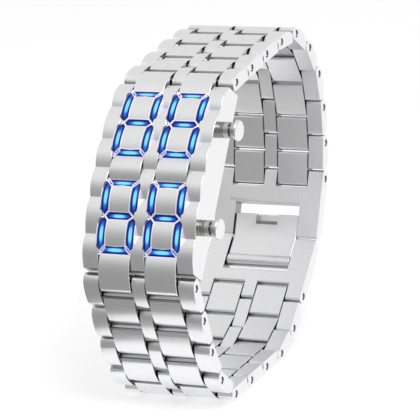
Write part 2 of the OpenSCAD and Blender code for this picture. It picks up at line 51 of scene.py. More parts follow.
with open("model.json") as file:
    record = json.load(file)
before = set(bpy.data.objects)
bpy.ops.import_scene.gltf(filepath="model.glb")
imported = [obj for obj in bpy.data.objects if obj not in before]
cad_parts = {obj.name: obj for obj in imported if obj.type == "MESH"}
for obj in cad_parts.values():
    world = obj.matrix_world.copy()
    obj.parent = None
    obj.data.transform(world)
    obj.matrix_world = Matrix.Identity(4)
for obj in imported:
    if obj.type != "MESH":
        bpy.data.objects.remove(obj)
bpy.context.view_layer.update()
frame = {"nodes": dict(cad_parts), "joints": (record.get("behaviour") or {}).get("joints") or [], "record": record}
MM = 0.001

# Sizes of the part in millimetres: the band and its links
BAND_W = 26.0
CENTRE_W = 3.3
EDGE_W = 3.75
COLUMN_GAP = 0.3
PITCH = 8.3
LINK_T = 3.2
LINK_GAP = 0.45
LINK_COUNT = 9
OUTER_ROUND = 1.6
TURN_ROUND = 0.8
STILL_ROUND = 0.45
BRIDGE_DROP = 0.55
CROWN = 0.8
HOLE_R = 0.8

# The case with its core, cover and screws
FACE_H = 7.2
FACE_R = 65.0
FACE_MID = 0.5
BACK_DROP = 2.0
END_SLOPE = math.radians(34)
RIDGE_DROP = 0.8
CORE_DROP = 0.4
CORE_LAP = 0.1
CORE_LIFT = 0.05
CORE_SHARE = 0.995
COVER_T = 0.9
GASKET_T = 0.3
COVER_RIM = 0.6
WALL_T = 2.4
SCREW_AT = 16.6
SCREW_R = 0.45
SCREW_HEAD_R = 0.8
SCREW_L = 3.0
SCREW_SOFT = 0.05
CROSS_L = 1.1
CROSS_W = 0.2
CROSS_T = 0.4

# The digits' bars, their slots and their rims
DIGIT_W = 8.6
DIGIT_H = 15.7
DIGIT_GAP = 5.4
BAR_ACROSS = 1.5
BAR_ALONG = 1.75
BAR_GAP = 0.5
BAR_DROP = 0.15
BAR_DEPTH = 0.9
LENS_FIT = 0.04
END_BAR_BOW = 0.2
TIP_GROW = 1.5
CORNER_GROW = 2.5
SLOT_FLOOR = 1.0
SLOT_SOFT = 0.1
RIM_W = 0.21
RIM_UP = 0.03
RIM_DEEP = 0.9

# The buttons
BUTTON_AT = 11.0
BUTTON_N = 3.6
BUTTON_TRAVEL = 0.5
BUTTON_BEVEL = 0.06
BARREL_L = 2.5
BARREL_R = 1.75
GROOVE_D = 0.12
RIB_L = 0.35
RIB_COUNT = 3
MOUTH_GAP = 0.1
MOUTH_D = 0.5
SPIGOT_R = 1.15
NECK_R = 1.15
STEM_R = 0.4
STEM_REACH = 0.9
COLLAR_L = 0.8
CAP_R = 2.3
CAP_L = 0.8
CAP_ROUND = 0.4
CAP_FLARE = 0.3
CAP_BACK = 0.15
PRESS_ROOM = 0.1
CHAMBER_D = 0.6
SPRING_L = 0.5
CLIP_R = 0.65
CLIP_ROOM = 0.2
CONTACT_ROOM = 0.7

# The clasp and its latch
CLASP_L = 14.5
RAIL_GAP = 0.7
RAIL_W = 5.0
UPPER_BAR_END = 6.5
LOWER_BAR_END = 5.6
LATCH_HINGE = 6.1
LATCH_REACH = 5.6
LATCH_T = 2.4
LATCH_GAP = 0.2
LATCH_SOFT = 0.25
NOTCH_W = 5.3
NOTCH_D = 2.4
NOTCH_T = 1.4
NOTCH_SLOPE = 0.9
BUMP_R = 0.45
BUMP_OUT = 0.1
BUMP_AT = 3.4

# Steps along round forms, and angles between faces that show as an edge
TIP_STEPS = 8
ROUND_STEPS = 5
FILLET_STEPS = 7
CROWN_CUTS = 3
HINGE_STEPS = 24
SCREW_STEPS = 32
TURN_STEPS = 48
RIDGE_STEPS = 12
CORE_STEPS = 24
SOFT_STEPS = 3
SHARP_ANGLE = 32
BEVEL_ANGLE = 40
STEEP_ANGLE = 60

# Limits: how far a corner moves inward, what counts as the same spot and what as level
MITRE_LEAST = 0.4
TINY = 1e-6
MERGE = 1e-5
LEVEL = 1e-4

# What delaunay_2d_cdt calls the kind of result whose faces a mesh can hold
VALID_FACES = 4

# Which way a face looks, how near it lies to a place, and how far a cutter reaches past its piece
SIDEWAYS = 0.9
ENDWAYS = 0.98
UPRIGHT = 0.8
UPWARD = 0.5
EDGE_ROOM = 0.3
NEAR = 0.1
HAIR = 0.01
BEYOND = 1.0

# Painted shade: how dark the links' ends are painted, the share of light that is left in a recess under its
# painted shade, and how fine the unevenness is
END_PAINTED_SHADE = 0.75
CASE_PAINTED_SHADE = 0.6
LINK_PAINTED_SHADE = 0.35
SPECKLE = 900.0

# The glow of a bar: how fast it falls across, where its three colours lie, and a spot outside it
GLOW_ACROSS = 2.3
GLOW_STOPS = (0.27, 0.58, 0.86)
UNLIT = (1.5, 1.5)

# The studio, in metres and degrees
FLOOR_HALF = 3.0
FLOOR_SHINE = 0.45
CARD_FAR = 0.45
CARD_EYE = 0.02
CARD_FLOOR = 0.001
CARD_Y = -0.03
CARD_TURNS = range(-175, -54, 10)
CARD_ROWS = ((-34, 0.32), (0, 0.32), (18, 0.34), (28, 0.43), (38, 0.60), (46, 0.77), (54, 0.90))
LAMPS = (("key", (0.35, -0.25, 0.7), 0.4, 1.0), ("fill", (-0.6, -0.3, 0.5), 0.5, 0.4))
LAMP_AIM = Vector((0, 0, 0.035))

WIDE_W = (BAND_W - CENTRE_W - 2 * EDGE_W) / 2
WIDE_X = (CENTRE_W + WIDE_W) / 2
EDGE_X = BAND_W / 2 - EDGE_W
TURN_END = PITCH / 4 - LINK_GAP / 2
STILL_END = PITCH / 4 + LINK_GAP / 2


# The loop's points and headings, from the frame's own joints

JOINTS = {joint["name"]: joint for joint in frame["joints"]}
MID_X = sum(corner.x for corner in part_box("link_a1")) / 2 / MM


def hinge(name):
    """A joint's place in the loop, in millimetres, on the band's middle."""
    spot = JOINTS[name]["pos_m"]
    return Vector((MID_X, spot[1] / MM, spot[2] / MM))


UPPER = [hinge(f"hinge_link_a{k}") for k in range(1, LINK_COUNT + 1)] + [hinge("hinge_clasp_upper")]
LOWER = [hinge(f"hinge_link_b{k}") for k in range(1, LINK_COUNT + 1)] + [hinge("hinge_clasp_lower")]
CASE_MIDDLE = (UPPER[0] + LOWER[0]) / 2
CASE_ALONG = (UPPER[0] - LOWER[0]).normalized()
CLASP_ALONG = (hinge("hinge_latch") - LOWER[-1]).normalized()
CLASP_MIDDLE = LOWER[-1] + CLASP_L * CLASP_ALONG
UPPER_CLASP_ALONG = (CLASP_MIDDLE - UPPER[-1]).normalized()
HINGE_U = (UPPER[0] - LOWER[0]).length / 2


def laid(origin, along, side=1):
    """Matrix from a flat piece to the loop. side is -1 for the lower half of the bracelet."""
    across = Vector((side, 0, 0))
    outward = across.cross(along)
    turn = Matrix((across, along, outward)).transposed().to_4x4()
    return Matrix.Diagonal((MM, MM, MM, 1)) @ Matrix.Translation(origin) @ turn


IN_CASE = laid(CASE_MIDDLE, CASE_ALONG)


# Small helpers for node trees


def add(tree, kind, links=None, **settings):
    """One node, with its settings, and its inputs linked or set."""
    node = tree.nodes.new(kind)
    for key, value in settings.items():
        setattr(node, key, value)
    for socket, value in (links or {}).items():
        target = node.inputs[socket]
        if isinstance(value, bpy.types.NodeSocket):
            tree.links.new(value, target)
        else:
            target.default_value = value
    return node


def maths(tree, operation, *values):
    """The result of one sum."""
    return add(tree, "ShaderNodeMath", dict(enumerate(values)), operation=operation).outputs[0]


def plus(tree, a, b):
    return maths(tree, "ADD", a, b)


def minus(tree, a, b):
    return maths(tree, "SUBTRACT", a, b)


def times(tree, a, b):
    return maths(tree, "MULTIPLY", a, b)


def vector(tree, **parts):
    return add(tree, "ShaderNodeCombineXYZ", parts).outputs[0]


def new_tree(name, kind, inputs, outputs):
    """A node group with its named sockets, and the sockets of its input node."""
    tree = bpy.data.node_groups.new(name, kind)
    for label, socket, default in inputs:
        tree.interface.new_socket(label, in_out="INPUT", socket_type=socket).default_value = default
    for label, socket in outputs:
        tree.interface.new_socket(label, in_out="OUTPUT", socket_type=socket)
    return tree, tree.nodes.new("NodeGroupInput").outputs


def shape_tree(name, sizes):
    """A geometry tree with its named sizes."""
    inputs = [(label, "NodeSocketFloat", value) for label, value in sizes]
    return new_tree(name, "GeometryNodeTree", inputs, [("Geometry", "NodeSocketGeometry")])


def end_tree(tree, **results):
    """Links the results to the group's output."""
    add(tree, "NodeGroupOutput", results)


# Geometry trees for what repeats

BAR_SIZES = (
    "From X",
    "To X",
    "From U",
    "To U",
    "Thickness",
    "Outer round",
    "Start round",
    "End round",
    "Crown",
)
BAND_SIZES = (
    ("Thickness", LINK_T),
    ("Outer round", OUTER_ROUND),
    ("Turning round", TURN_ROUND),
    ("Still round", STILL_ROUND),
    ("Turning end", TURN_END),
    ("Still end", STILL_END),
    ("Column gap", COLUMN_GAP),
    ("Centre width", CENTRE_W),
    ("Edge width", EDGE_W),
    ("Band width", BAND_W),
    ("Hole radius", HOLE_R),
    ("Crown", CROWN),
)


def bar_tree():
    """A plate across the band, rounded and crowned outside and rounded at each end inside."""
    tree, given = shape_tree("Rounded bar", [(label, 1.0) for label in BAR_SIZES])
    top = times(tree, given["Thickness"], 0.5)
    low = times(tree, given["Thickness"], -0.5)
    corners = (("To U", top), ("From U", top), ("From U", low), ("To U", low))
    section = add(
        tree,
        "GeometryNodeCurvePrimitiveQuadrilateral",
        {f"Point {k + 1}": vector(tree, X=given[u], Y=n) for k, (u, n) in enumerate(corners)},
        mode="POINTS",
    )
    radius = add(tree, "GeometryNodeIndexSwitch", data_type="FLOAT")
    while len(radius.index_switch_items) < len(corners):
        radius.index_switch_items.new()
    tree.links.new(add(tree, "GeometryNodeInputIndex").outputs[0], radius.inputs[0])
    for k, label in enumerate(("Outer round", "Outer round", "Start round", "End round")):
        tree.links.new(given[label], radius.inputs[k + 1])
    fillets = {"Curve": section.outputs[0], "Count": FILLET_STEPS, "Radius": radius.outputs[0]}
    rounded = add(tree, "GeometryNodeFilletCurve", fillets, mode="POLY")
    fine = add(tree, "GeometryNodeSubdivideCurve", {"Curve": rounded.outputs[0], "Cuts": CROWN_CUTS})
    place = add(tree, "GeometryNodeInputPosition").outputs[0]
    spot = add(tree, "ShaderNodeSeparateXYZ", {0: place}).outputs
    middle = times(tree, plus(tree, given["From U"], given["To U"]), 0.5)
    half = minus(tree, given["To U"], middle)
    share = maths(tree, "DIVIDE", minus(tree, spot["X"], middle), half)
    outward = maths(tree, "MAXIMUM", maths(tree, "DIVIDE", spot["Y"], top), 0.0)
    fall = times(tree, times(tree, share, share), outward)
    lowered = times(tree, times(tree, fall, given["Crown"]), -1.0)
    crown = {"Geometry": fine.outputs[0], "Offset": vector(tree, Y=lowered)}
    crowned = add(tree, "GeometryNodeSetPosition", crown)
    ends = {"Start": vector(tree, Z=given["From X"]), "End": vector(tree, Z=given["To X"])}
    path = add(tree, "GeometryNodeCurvePrimitiveLine", ends)
    sweep = {"Curve": path.outputs[0], "Profile Curve": crowned.outputs[0], "Fill Caps": True}
    solid = add(tree, "GeometryNodeCurveToMesh", sweep)
    end_tree(tree, Geometry=moved(tree, solid.outputs[0], Rotation=(math.pi / 2, 0, math.pi / 2)))
    return tree


def moved(tree, geometry, **change):
    """A geometry with its Translation or Rotation changed."""
    return add(tree, "GeometryNodeTransform", {"Geometry": geometry, **change}).outputs[0]


def copies(tree, points, geometry):
    """A copy of a geometry at each point."""
    sockets = {"Points": points, "Instance": geometry}
    return add(tree, "GeometryNodeInstanceOnPoints", sockets).outputs[0]


def pair(tree, geometry, x):
    """Two copies of a geometry, at x and at minus x."""
    start = vector(tree, X=times(tree, x, -1.0))
    sockets = {"Count": 2, "Start Location": start, "Offset": vector(tree, X=times(tree, x, 2.0))}
    return copies(tree, add(tree, "GeometryNodeMeshLine", sockets).outputs[0], geometry)


def joined(tree, *parts):
    """Several geometries as one."""
    node = tree.nodes.new("GeometryNodeJoinGeometry")
    for part in parts:
        tree.links.new(part, node.inputs[0])
    return node.outputs[0]


def combined(tree, operation, first, others, **settings):
    """The others cut out of the first geometry, or all of them as one solid."""
    sockets = {"Mesh 1": first} if first else {}
    node = add(tree, "GeometryNodeMeshBoolean", sockets, operation=operation, **settings)
    for other in others:
        tree.links.new(other, node.inputs["Mesh 2"])
    return node.outputs[0]


def plate(tree, bar, across, along, thickness, rounds, crown):
    """A rounded bar. across is its half width, along its two ends, and rounds are in BAR_SIZES' order."""
    values = (times(tree, across, -1.0), across, *along, thickness, *rounds, crown)
    sockets = dict(zip(BAR_SIZES, values))
    return add(tree, "GeometryNodeGroup", sockets, node_tree=bar).outputs[0]


def tabs(tree, given, bar, edge_end, centre_end):
    """The three tabs that turn about a pin, with the pin's hole through the outer two."""
    rounds = [given[label] for label in ("Outer round", "Turning round", "Still round")]
    start = times(tree, given["Turning end"], -1.0)

    def tab(width, end):
        half = times(tree, width, 0.5)
        return plate(tree, bar, half, (start, end), given["Thickness"], rounds, given["Crown"])

    centre = tab(minus(tree, given["Centre width"], given["Column gap"]), centre_end)
    edge_w = minus(tree, given["Edge width"], times(tree, given["Column gap"], 0.5))
    rod = {"Vertices": HINGE_STEPS, "Radius": given["Hole radius"], "Depth": 2 * EDGE_W}
    rod = add(tree, "GeometryNodeMeshCylinder", rod).outputs[0]
    hole = moved(tree, rod, Rotation=(0, math.pi / 2, 0))
    drilled = combined(tree, "DIFFERENCE", tab(edge_w, edge_end), [hole], solver="MANIFOLD")
    edge_x = times(tree, minus(tree, given["Band width"], edge_w), 0.5)
    return [centre, pair(tree, drilled, edge_x)]


def finished(tree, material, *parts):
    """Ends a tree: realised, with its material."""
    whole = add(tree, "GeometryNodeRealizeInstances", {"Geometry": joined(tree, *parts)}).outputs[0]
    coloured = add(tree, "GeometryNodeSetMaterial", {"Geometry": whole, "Material": material})
    end_tree(tree, Geometry=coloured.outputs[0])
    return tree


def bridge_half(tree, given):
    """How far a bridge or crosspiece reaches from the band's middle, into the edge columns."""
    inside = minus(tree, given["Edge width"], given["Column gap"])
    return minus(tree, times(tree, given["Band width"], 0.5), inside)


def link_tree(bar, material):
    """A link: two wide bars, three tabs between them and the bridge that carries all five."""
    extra = (("Pitch", PITCH), ("Bridge drop", BRIDGE_DROP))
    tree, given = shape_tree("Bracelet link", BAND_SIZES + extra)
    tab_end = minus(tree, given["Pitch"], given["Still end"])
    inside = times(tree, minus(tree, given["Band width"], given["Centre width"]), 0.5)
    side_w = minus(tree, inside, given["Edge width"])
    half_w = times(tree, minus(tree, side_w, given["Column gap"]), 0.5)
    along = (given["Still end"], plus(tree, given["Pitch"], given["Turning end"]))
    rounds = [given[label] for label in ("Outer round", "Still round", "Turning round")]
    wide = plate(tree, bar, half_w, along, given["Thickness"], rounds, given["Crown"])
    wide_x = times(tree, plus(tree, side_w, given["Centre width"]), 0.5)
    start = plus(tree, given["Still end"], given["Still round"])
    stop = minus(tree, tab_end, given["Still round"])
    thick = minus(tree, given["Thickness"], times(tree, given["Bridge drop"], 2.0))
    bridge = plate(tree, bar, bridge_half(tree, given), (start, stop), thick, (0.0, 0.0, 0.0), 0.0)
    turning = tabs(tree, given, bar, tab_end, tab_end)
    return finished(tree, material, pair(tree, wide, wide_x), bridge, *turning)


def clasp_tree(bar, material):
    """One half of the clasp: a crosspiece with two rails and the tabs of its first hinge."""
    rail_end = CLASP_L - RAIL_GAP / 2
    extra = (("Rail end", rail_end), ("Crosspiece end", UPPER_BAR_END), ("Rail width", RAIL_W))
    tree, given = shape_tree("Clasp half", BAND_SIZES + extra)
    reach = bridge_half(tree, given)
    inner = minus(tree, times(tree, given["Band width"], 0.5), given["Rail width"])

    def strip(half, end):
        along = (given["Still end"], given[end])
        return plate(tree, bar, half, along, given["Thickness"], 3 * [given["Still round"]], 0.0)

    rail = strip(times(tree, minus(tree, reach, inner), 0.5), "Rail end")
    rail_x = times(tree, plus(tree, reach, inner), 0.5)
    parts = [strip(reach, "Crosspiece end"), pair(tree, rail, rail_x)]
    parts += tabs(tree, given, bar, given["Rail end"], given["Crosspiece end"])
    solids = [add(tree, "GeometryNodeRealizeInstances", {"Geometry": part}).outputs[0] for part in parts]
    return finished(tree, material, combined(tree, "UNION", None, solids, solver="MANIFOLD"))


def screw_tree(material):
    """The four screws of the back, each with a cross cut into its head."""
    sizes = (("Head radius", SCREW_HEAD_R), ("Thread radius", SCREW_R), ("Along", SCREW_AT))
    tree, given = shape_tree("Back screws", sizes)

    def rod(radius, length, height):
        made = {"Vertices": SCREW_STEPS, "Radius": radius, "Depth": length}
        made = add(tree, "GeometryNodeMeshCylinder", made).outputs[0]
        return moved(tree, made, Translation=(0, 0, height))

    head = rod(given["Head radius"], COVER_T / 2, COVER_T / 4)
    slots = [
        add(tree, "GeometryNodeMeshCube", {"Size": size}).outputs[0]
        for size in ((CROSS_L, CROSS_W, CROSS_T), (CROSS_W, CROSS_L, CROSS_T))
    ]
    thread = rod(given["Thread radius"], SCREW_L - COVER_T / 2, (SCREW_L + COVER_T / 2) / 2)
    screw = joined(tree, combined(tree, "DIFFERENCE", head, slots), thread)
    grid = {
        "Size X": BAND_W - WALL_T - COVER_RIM,
        "Size Y": times(tree, given["Along"], 2.0),
        "Vertices X": 2,
        "Vertices Y": 2,
    }
    placed = copies(tree, add(tree, "GeometryNodeMeshGrid", grid).outputs[0], screw)
    return finished(tree, material, moved(tree, placed, Translation=(0, 0, -BACK_DROP)))


# From a tree, a script's mesh or both to a finished piece


def in_scene(name, data):
    """A new object in the scene."""
    thing = bpy.data.objects.new(name, data)
    bpy.context.scene.collection.objects.link(thing)
    return thing


def evaluated(mesh, modifiers):
    """A plain copy of a mesh with modifiers worked in. Each is (kind, values)."""
    thing = in_scene("work", mesh)
    for kind, values in modifiers:
        modifier = thing.modifiers.new(kind, kind)
        inputs = values.pop("inputs", {})
        for key, value in values.items():
            setattr(modifier, key, value)
        if inputs:
            for item in modifier.node_group.interface.items_tree:
                if item.in_out == "INPUT" and item.name in inputs:
                    modifier[item.identifier] = inputs[item.name]
    depsgraph = bpy.context.evaluated_depsgraph_get()
    plain = bpy.data.meshes.new_from_object(thing.evaluated_get(depsgraph), depsgraph=depsgraph)
    bpy.data.objects.remove(thing)
    return plain


def edge_round(width, angle=BEVEL_ANGLE):
    """The modifier that rounds sharp edges."""
    edges = {"limit_method": "ANGLE", "angle_limit": math.radians(angle)}
    return "BEVEL", {"width": width, "segments": 2, "miter_outer": "MITER_ARC", **edges}


def grown(tree, soft, inputs=None):
    """The mesh that a tree makes, with its edges rounded."""
    steps = [("NODES", {"node_group": tree, "inputs": inputs or {}}), edge_round(soft)]
    return evaluated(bpy.data.meshes.new("start"), steps)


def sideways(face):
    return abs(face.normal.x) > SIDEWAYS


def painted_shade(face):
    """How much painted shade a face gets: faces between two columns or links or in a pin's hole are painted
    darker.
    """
    if sideways(face):
        return abs(face.center.x) < BAND_W / 2 - EDGE_ROOM
    if abs(face.normal.y) > ENDWAYS:
        return END_PAINTED_SHADE
    if math.hypot(face.center.y, face.center.z) < HOLE_R + HAIR:
        return 1.0
    return abs(face.normal.z) > SIDEWAYS and abs(abs(face.center.z) - LINK_T / 2 + BRIDGE_DROP) < NEAR


def piece(name, mesh, place, body, slot, *nodes, shade_to_paint=painted_shade):
    """Lays a flat mesh into the loop as a piece that rides on a body and stands for nodes."""
    flat = mesh.attributes.new("flat", "FLOAT_VECTOR", "POINT")
    flat.data.foreach_set("vector", [c for vertex in mesh.vertices for c in vertex.co])
    # Each face is marked as a polished side or not, and with how much painted shade it gets.
    for label, measure in (("side", sideways), ("recess", shade_to_paint)):
        made = mesh.attributes.new(label, "FLOAT", "FACE")
        made.data.foreach_set("value", [float(measure(face)) for face in mesh.polygons])
    mesh.transform(place)
    mesh.shade_smooth()
    mesh.set_sharp_from_angle(angle=math.radians(SHARP_ANGLE))
    mesh = evaluated(mesh, [("WEIGHTED_NORMAL", {"keep_sharp": True})])
    mesh.name = name
    thing = in_scene(name, mesh)
    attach(thing, body)
    if nodes:
        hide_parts(*nodes)


# Outlines, the same as the solids'


def on_circle(middle, radius, start, stop, steps):
    """Points along an arc, angles in degrees."""
    angles = [math.radians(start + (stop - start) * k / steps) for k in range(steps + 1)]
    return [(middle[0] + radius * math.cos(a), middle[1] + radius * math.sin(a)) for a in angles]


def rectangle(u0, u1, n0, n1):
    return [(u0, n0), (u1, n0), (u1, n1), (u0, n1)]


def tilted(u, n):
    """A point of the case's end, given along and out from its hinge."""
    c, s = math.cos(END_SLOPE), math.sin(END_SLOPE)
    return (HINGE_U + c * u + s * n, c * n - s * u)


TIP = tilted(TURN_END - OUTER_ROUND, LINK_T / 2)
HEEL = tilted(TURN_END - TURN_ROUND, -LINK_T / 2)
DIGIT_US = [FACE_MID + side * (DIGIT_GAP + DIGIT_H) / 2 for side in (-1, 1)]
DIGIT_EDGES = [u + side * DIGIT_H / 2 for u in DIGIT_US for side in (-1, 0, 1)]
WIDE_EDGES = [-TIP[0], *DIGIT_EDGES, TIP[0]]
NARROW_END = HINGE_U - STILL_END
NARROW_MIDDLES = [(a + b) / 2 for a, b in zip(DIGIT_EDGES, DIGIT_EDGES[1:])]
NARROW_EDGES = [-NARROW_END, *NARROW_MIDDLES, NARROW_END]


def arc_n(u):
    return FACE_H - (u - FACE_MID) ** 2 / (2 * FACE_R)


def face_n(u):
    """Height of the face without its ridges."""
    low, high = DIGIT_EDGES[0], DIGIT_EDGES[-1]
    end = TIP[1] + RIDGE_DROP
    if u < low:
        return arc_n(low) + (end - arc_n(low)) * (low - u) / (low + TIP[0])
    if u > high:
        return arc_n(high) + (end - arc_n(high)) * (u - high) / (TIP[0] - high)
    return arc_n(u)


def ridge_n(edges, u):
    """Height of the face with its ridges."""
    for a, b in zip(edges, edges[1:]):
        if a - TINY <= u <= b + TINY:
            t = (u - a) / (b - a)
            return face_n(u) - RIDGE_DROP * (2 * t - 1) ** 2
    return face_n(u) - RIDGE_DROP


def ridge_us(edges, steps):
    """Where the face is creased, along it."""
    us = [edges[0]]
    for a, b in zip(edges, edges[1:]):
        us += [a + (b - a) * k / steps for k in range(1, steps + 1)]
    return us


CREASES = ridge_us(WIDE_EDGES, RIDGE_STEPS)


def wide_outline():
    """A wide column of the case from its side, with the round ends that carry the first hinges."""
    slope = math.degrees(END_SLOPE)
    tip = tilted(TURN_END - OUTER_ROUND, LINK_T / 2 - OUTER_ROUND)
    heel = tilted(TURN_END - TURN_ROUND, TURN_ROUND - LINK_T / 2)
    end = on_circle(tip, OUTER_ROUND, 90 - slope, -slope, TIP_STEPS)
    end += on_circle(heel, TURN_ROUND, -slope, -90 - slope, ROUND_STEPS)
    end.append((HEEL[0] - LINK_T / 2, -BACK_DROP))
    top = [(u, ridge_n(WIDE_EDGES, u)) for u in CREASES]
    return top + end[1:] + [(-u, n) for u, n in reversed(end)][:-1]


def narrow_outline():
    """A narrow column of the case from its side."""
    top = [(u, ridge_n(NARROW_EDGES, u)) for u in ridge_us(NARROW_EDGES, RIDGE_STEPS)]
    return top + [(NARROW_END, -BACK_DROP), (-NARROW_END, -BACK_DROP)]


# Solids from outlines


def as_mesh(build, name, outward=True):
    """Ends a build as a mesh. Its faces are turned outward first, unless they are already."""
    if outward:
        bmesh.ops.recalc_face_normals(build, faces=build.faces)
    mesh = bpy.data.meshes.new(name)
    build.to_mesh(mesh)
    build.free()
    return mesh


def walls(build, rings):
    """Faces from each ring of points to the next. A ring may be one point over and over."""
    for low, high in zip(rings, rings[1:]):
        for k in range(len(low)):
            corners = list(dict.fromkeys((low[k - 1], low[k], high[k], high[k - 1])))
            if len(corners) > 2:
                build.faces.new(corners)


def closed(build, rings):
    """A closed solid through rings of points."""
    walls(build, rings)
    build.faces.new(rings[0])
    build.faces.new(reversed(rings[-1]))


def prism(outline, x0, x1, soft):
    """A closed bar across the band from x0 to x1, with its rims rounded by soft."""
    points = [Vector(p) for p in outline]
    if sum(a.cross(b) for a, b in zip(points, points[1:] + points[:1])) < 0:
        points.reverse()
    inward = []
    for k, p in enumerate(points):
        before = (p - points[k - 1]).normalized()
        after = (points[(k + 1) % len(points)] - p).normalized()
        a = Vector((-before.y, before.x))
        b = Vector((-after.y, after.x))
        inward.append((a + b) / max(MITRE_LEAST, 1 + a.dot(b)))
    build = bmesh.new()
    rings = []
    stations = [k / SOFT_STEPS * math.pi / 2 for k in range(SOFT_STEPS + 1)] if soft else [math.pi / 2]
    for side, base in ((1, x0), (-1, x1)):
        rows = []
        for angle in stations:
            x = base + side * soft * (1 - math.cos(angle))
            inset = soft * (1 - math.sin(angle))
            rows.append([build.verts.new((x, *(p + m * inset))) for p, m in zip(points, inward)])
        rings += rows if side == 1 else rows[::-1]
    closed(build, rings)
    return as_mesh(build, "prism")


def turned(profile):
    """A closed solid turned round X from (x, radius) points. The first and last lie on the axis."""
    build = bmesh.new()
    angles = [2 * math.pi * k / TURN_STEPS for k in range(TURN_STEPS)]
    rings = []
    for x, radius in profile:
        if radius:
            spots = [(x, radius * math.cos(a), radius * math.sin(a)) for a in angles]
            rings.append([build.verts.new(spot) for spot in spots])
        else:
            rings.append([build.verts.new((x, 0, 0))] * TURN_STEPS)
    walls(build, rings)
    return as_mesh(build, "turned")


def merged(meshes, places=None):
    """Several meshes as one, each moved by its own matrix first."""
    build = bmesh.new()
    for k, mesh in enumerate(meshes):
        part = mesh.copy()
        if places:
            part.transform(places[k])
        build.from_mesh(part)
        bpy.data.meshes.remove(part)
    return as_mesh(build, "whole", outward=False)


def ball(middle, radius):
    """A closed ball."""
    build = bmesh.new()
    bmesh.ops.create_uvsphere(build, u_segments=24, v_segments=12, radius=radius)
    made = as_mesh(build, "ball", outward=False)
    made.transform(Matrix.Translation(middle))
    return made


def less(mesh, tool):
    """mesh with tool cut out of it."""
    cutter = in_scene("cutter", tool)
    cut = {"operation": "DIFFERENCE", "solver": "MANIFOLD", "object": cutter}
    result = evaluated(mesh, [("BOOLEAN", cut)])
    bpy.data.objects.remove(cutter)
    return result


def latch_outline(blade):
    """The latch from its side: the barrel round its pin, the plate and the bent blade."""
    half = LATCH_T / 2
    outward = blade.to_3x3() @ Vector((0, 0, 1))
    bends = [(CLASP_L + n * (1 - outward.z) / outward.y, n) for n in (-half, half)]
    start = math.degrees(math.asin(half / (LINK_T / 2)))
    barrel = on_circle((CLASP_L - LATCH_HINGE, 0), LINK_T / 2, start, 360 - start, HINGE_STEPS)
    end_u = LATCH_REACH - STILL_ROUND
    tip = on_circle((end_u, STILL_ROUND - half), STILL_ROUND, -90, 0, ROUND_STEPS)
    tip += on_circle((end_u, half - STILL_ROUND), STILL_ROUND, 0, 90, ROUND_STEPS)
    tip = [tuple((blade @ Vector((0, u, n))).yz) for u, n in tip]
    return [*barrel, bends[0], *tip, bends[1]]


# The bars of the digits, as outlines seen from the front


def mid_bar(length, width, grow):
    """A bar with a point at each end."""
    a = length / 2 + TIP_GROW * grow
    b = width / 2 + grow
    return [(-a, 0), (b - a, b), (a - b, b), (a, 0), (a - b, -b), (b - a, -b)]


def end_bar(length, width, grow):
    """A bar with slanted ends and a bowed inner edge."""
    a = length / 2 + CORNER_GROW * grow
    b = width / 2 + grow
    return [(-a, b), (a, b), (a - 2 * b, -b), (0, END_BAR_BOW - b), (2 * b - a, -b)]


def digit_bars(grow):
    """Every bar of one digit as (outline, middle, half length, half width, stands)."""
    across_l = DIGIT_W - math.sqrt(2) * BAR_GAP
    along_l = DIGIT_H / 2 - BAR_GAP
    middle_l = DIGIT_W - BAR_ALONG - math.sqrt(2) * BAR_GAP
    bars = [(mid_bar(middle_l, BAR_ACROSS, grow), (0, 0), middle_l / 2, BAR_ACROSS / 2, False)]
    for side in (-1, 1):
        level = side * (DIGIT_H - BAR_ACROSS) / 2
        flat = [(x, side * y + level) for x, y in end_bar(across_l, BAR_ACROSS, grow)]
        bars.append((flat, (0, level), across_l / 2, BAR_ACROSS / 2, False))
        for hand in (-1, 1):
            middle = (hand * (DIGIT_W - BAR_ALONG) / 2, side * DIGIT_H / 4)
            tall = [(middle[0] - y, middle[1] + x) for x, y in mid_bar(along_l, BAR_ALONG, grow)]
            bars.append((tall, middle, along_l / 2, BAR_ALONG / 2, True))
    return bars


def all_bars(grow):
    """Every bar on the face, moved to its digit."""
    for right in (-WIDE_X, WIDE_X):
        for up in DIGIT_US:
            for outline, (x, u), *rest in digit_bars(grow):
                yield [(a + right, b + up) for a, b in outline], (x + right, u + up), *rest


def rim_mesh():
    """A thin rim round every bar, which follows the ridges."""
    build = bmesh.new()
    for (near, *_), (far, *_) in zip(all_bars(LENS_FIT), all_bars(LENS_FIT + RIM_W)):
        rings = []
        for k in range(len(near)):
            ends = [Vector(p) for p in (near[k - 1], near[k], far[k - 1], far[k])]
            rise = ends[1].y - ends[0].y
            stops = [(u - ends[0].y) / rise for u in CREASES] if abs(rise) > LEVEL else []
            for t in [0.0] + sorted(t for t in stops if HAIR < t < 1 - HAIR):
                inner = ends[0].lerp(ends[1], t)
                outer = ends[2].lerp(ends[3], t)
                top = ridge_n(WIDE_EDGES, inner.y)
                corners = ((inner, -RIM_DEEP), (inner, RIM_UP), (outer, RIM_UP), (outer, -RIM_DEEP))
                rings.append([build.verts.new((p.x, p.y, top + up)) for p, up in corners])
        walls(build, rings[-1:] + rings)
    return as_mesh(build, "rims")


def slot_tool():
    """What is cut out of the face for the bars."""
    build = bmesh.new()
    for outline, *_ in all_bars(LENS_FIT):
        levels = (SLOT_FLOOR, FACE_H + BEYOND)
        closed(build, [[build.verts.new((x, u, n)) for x, u in outline] for n in levels])
    return as_mesh(build, "slots")


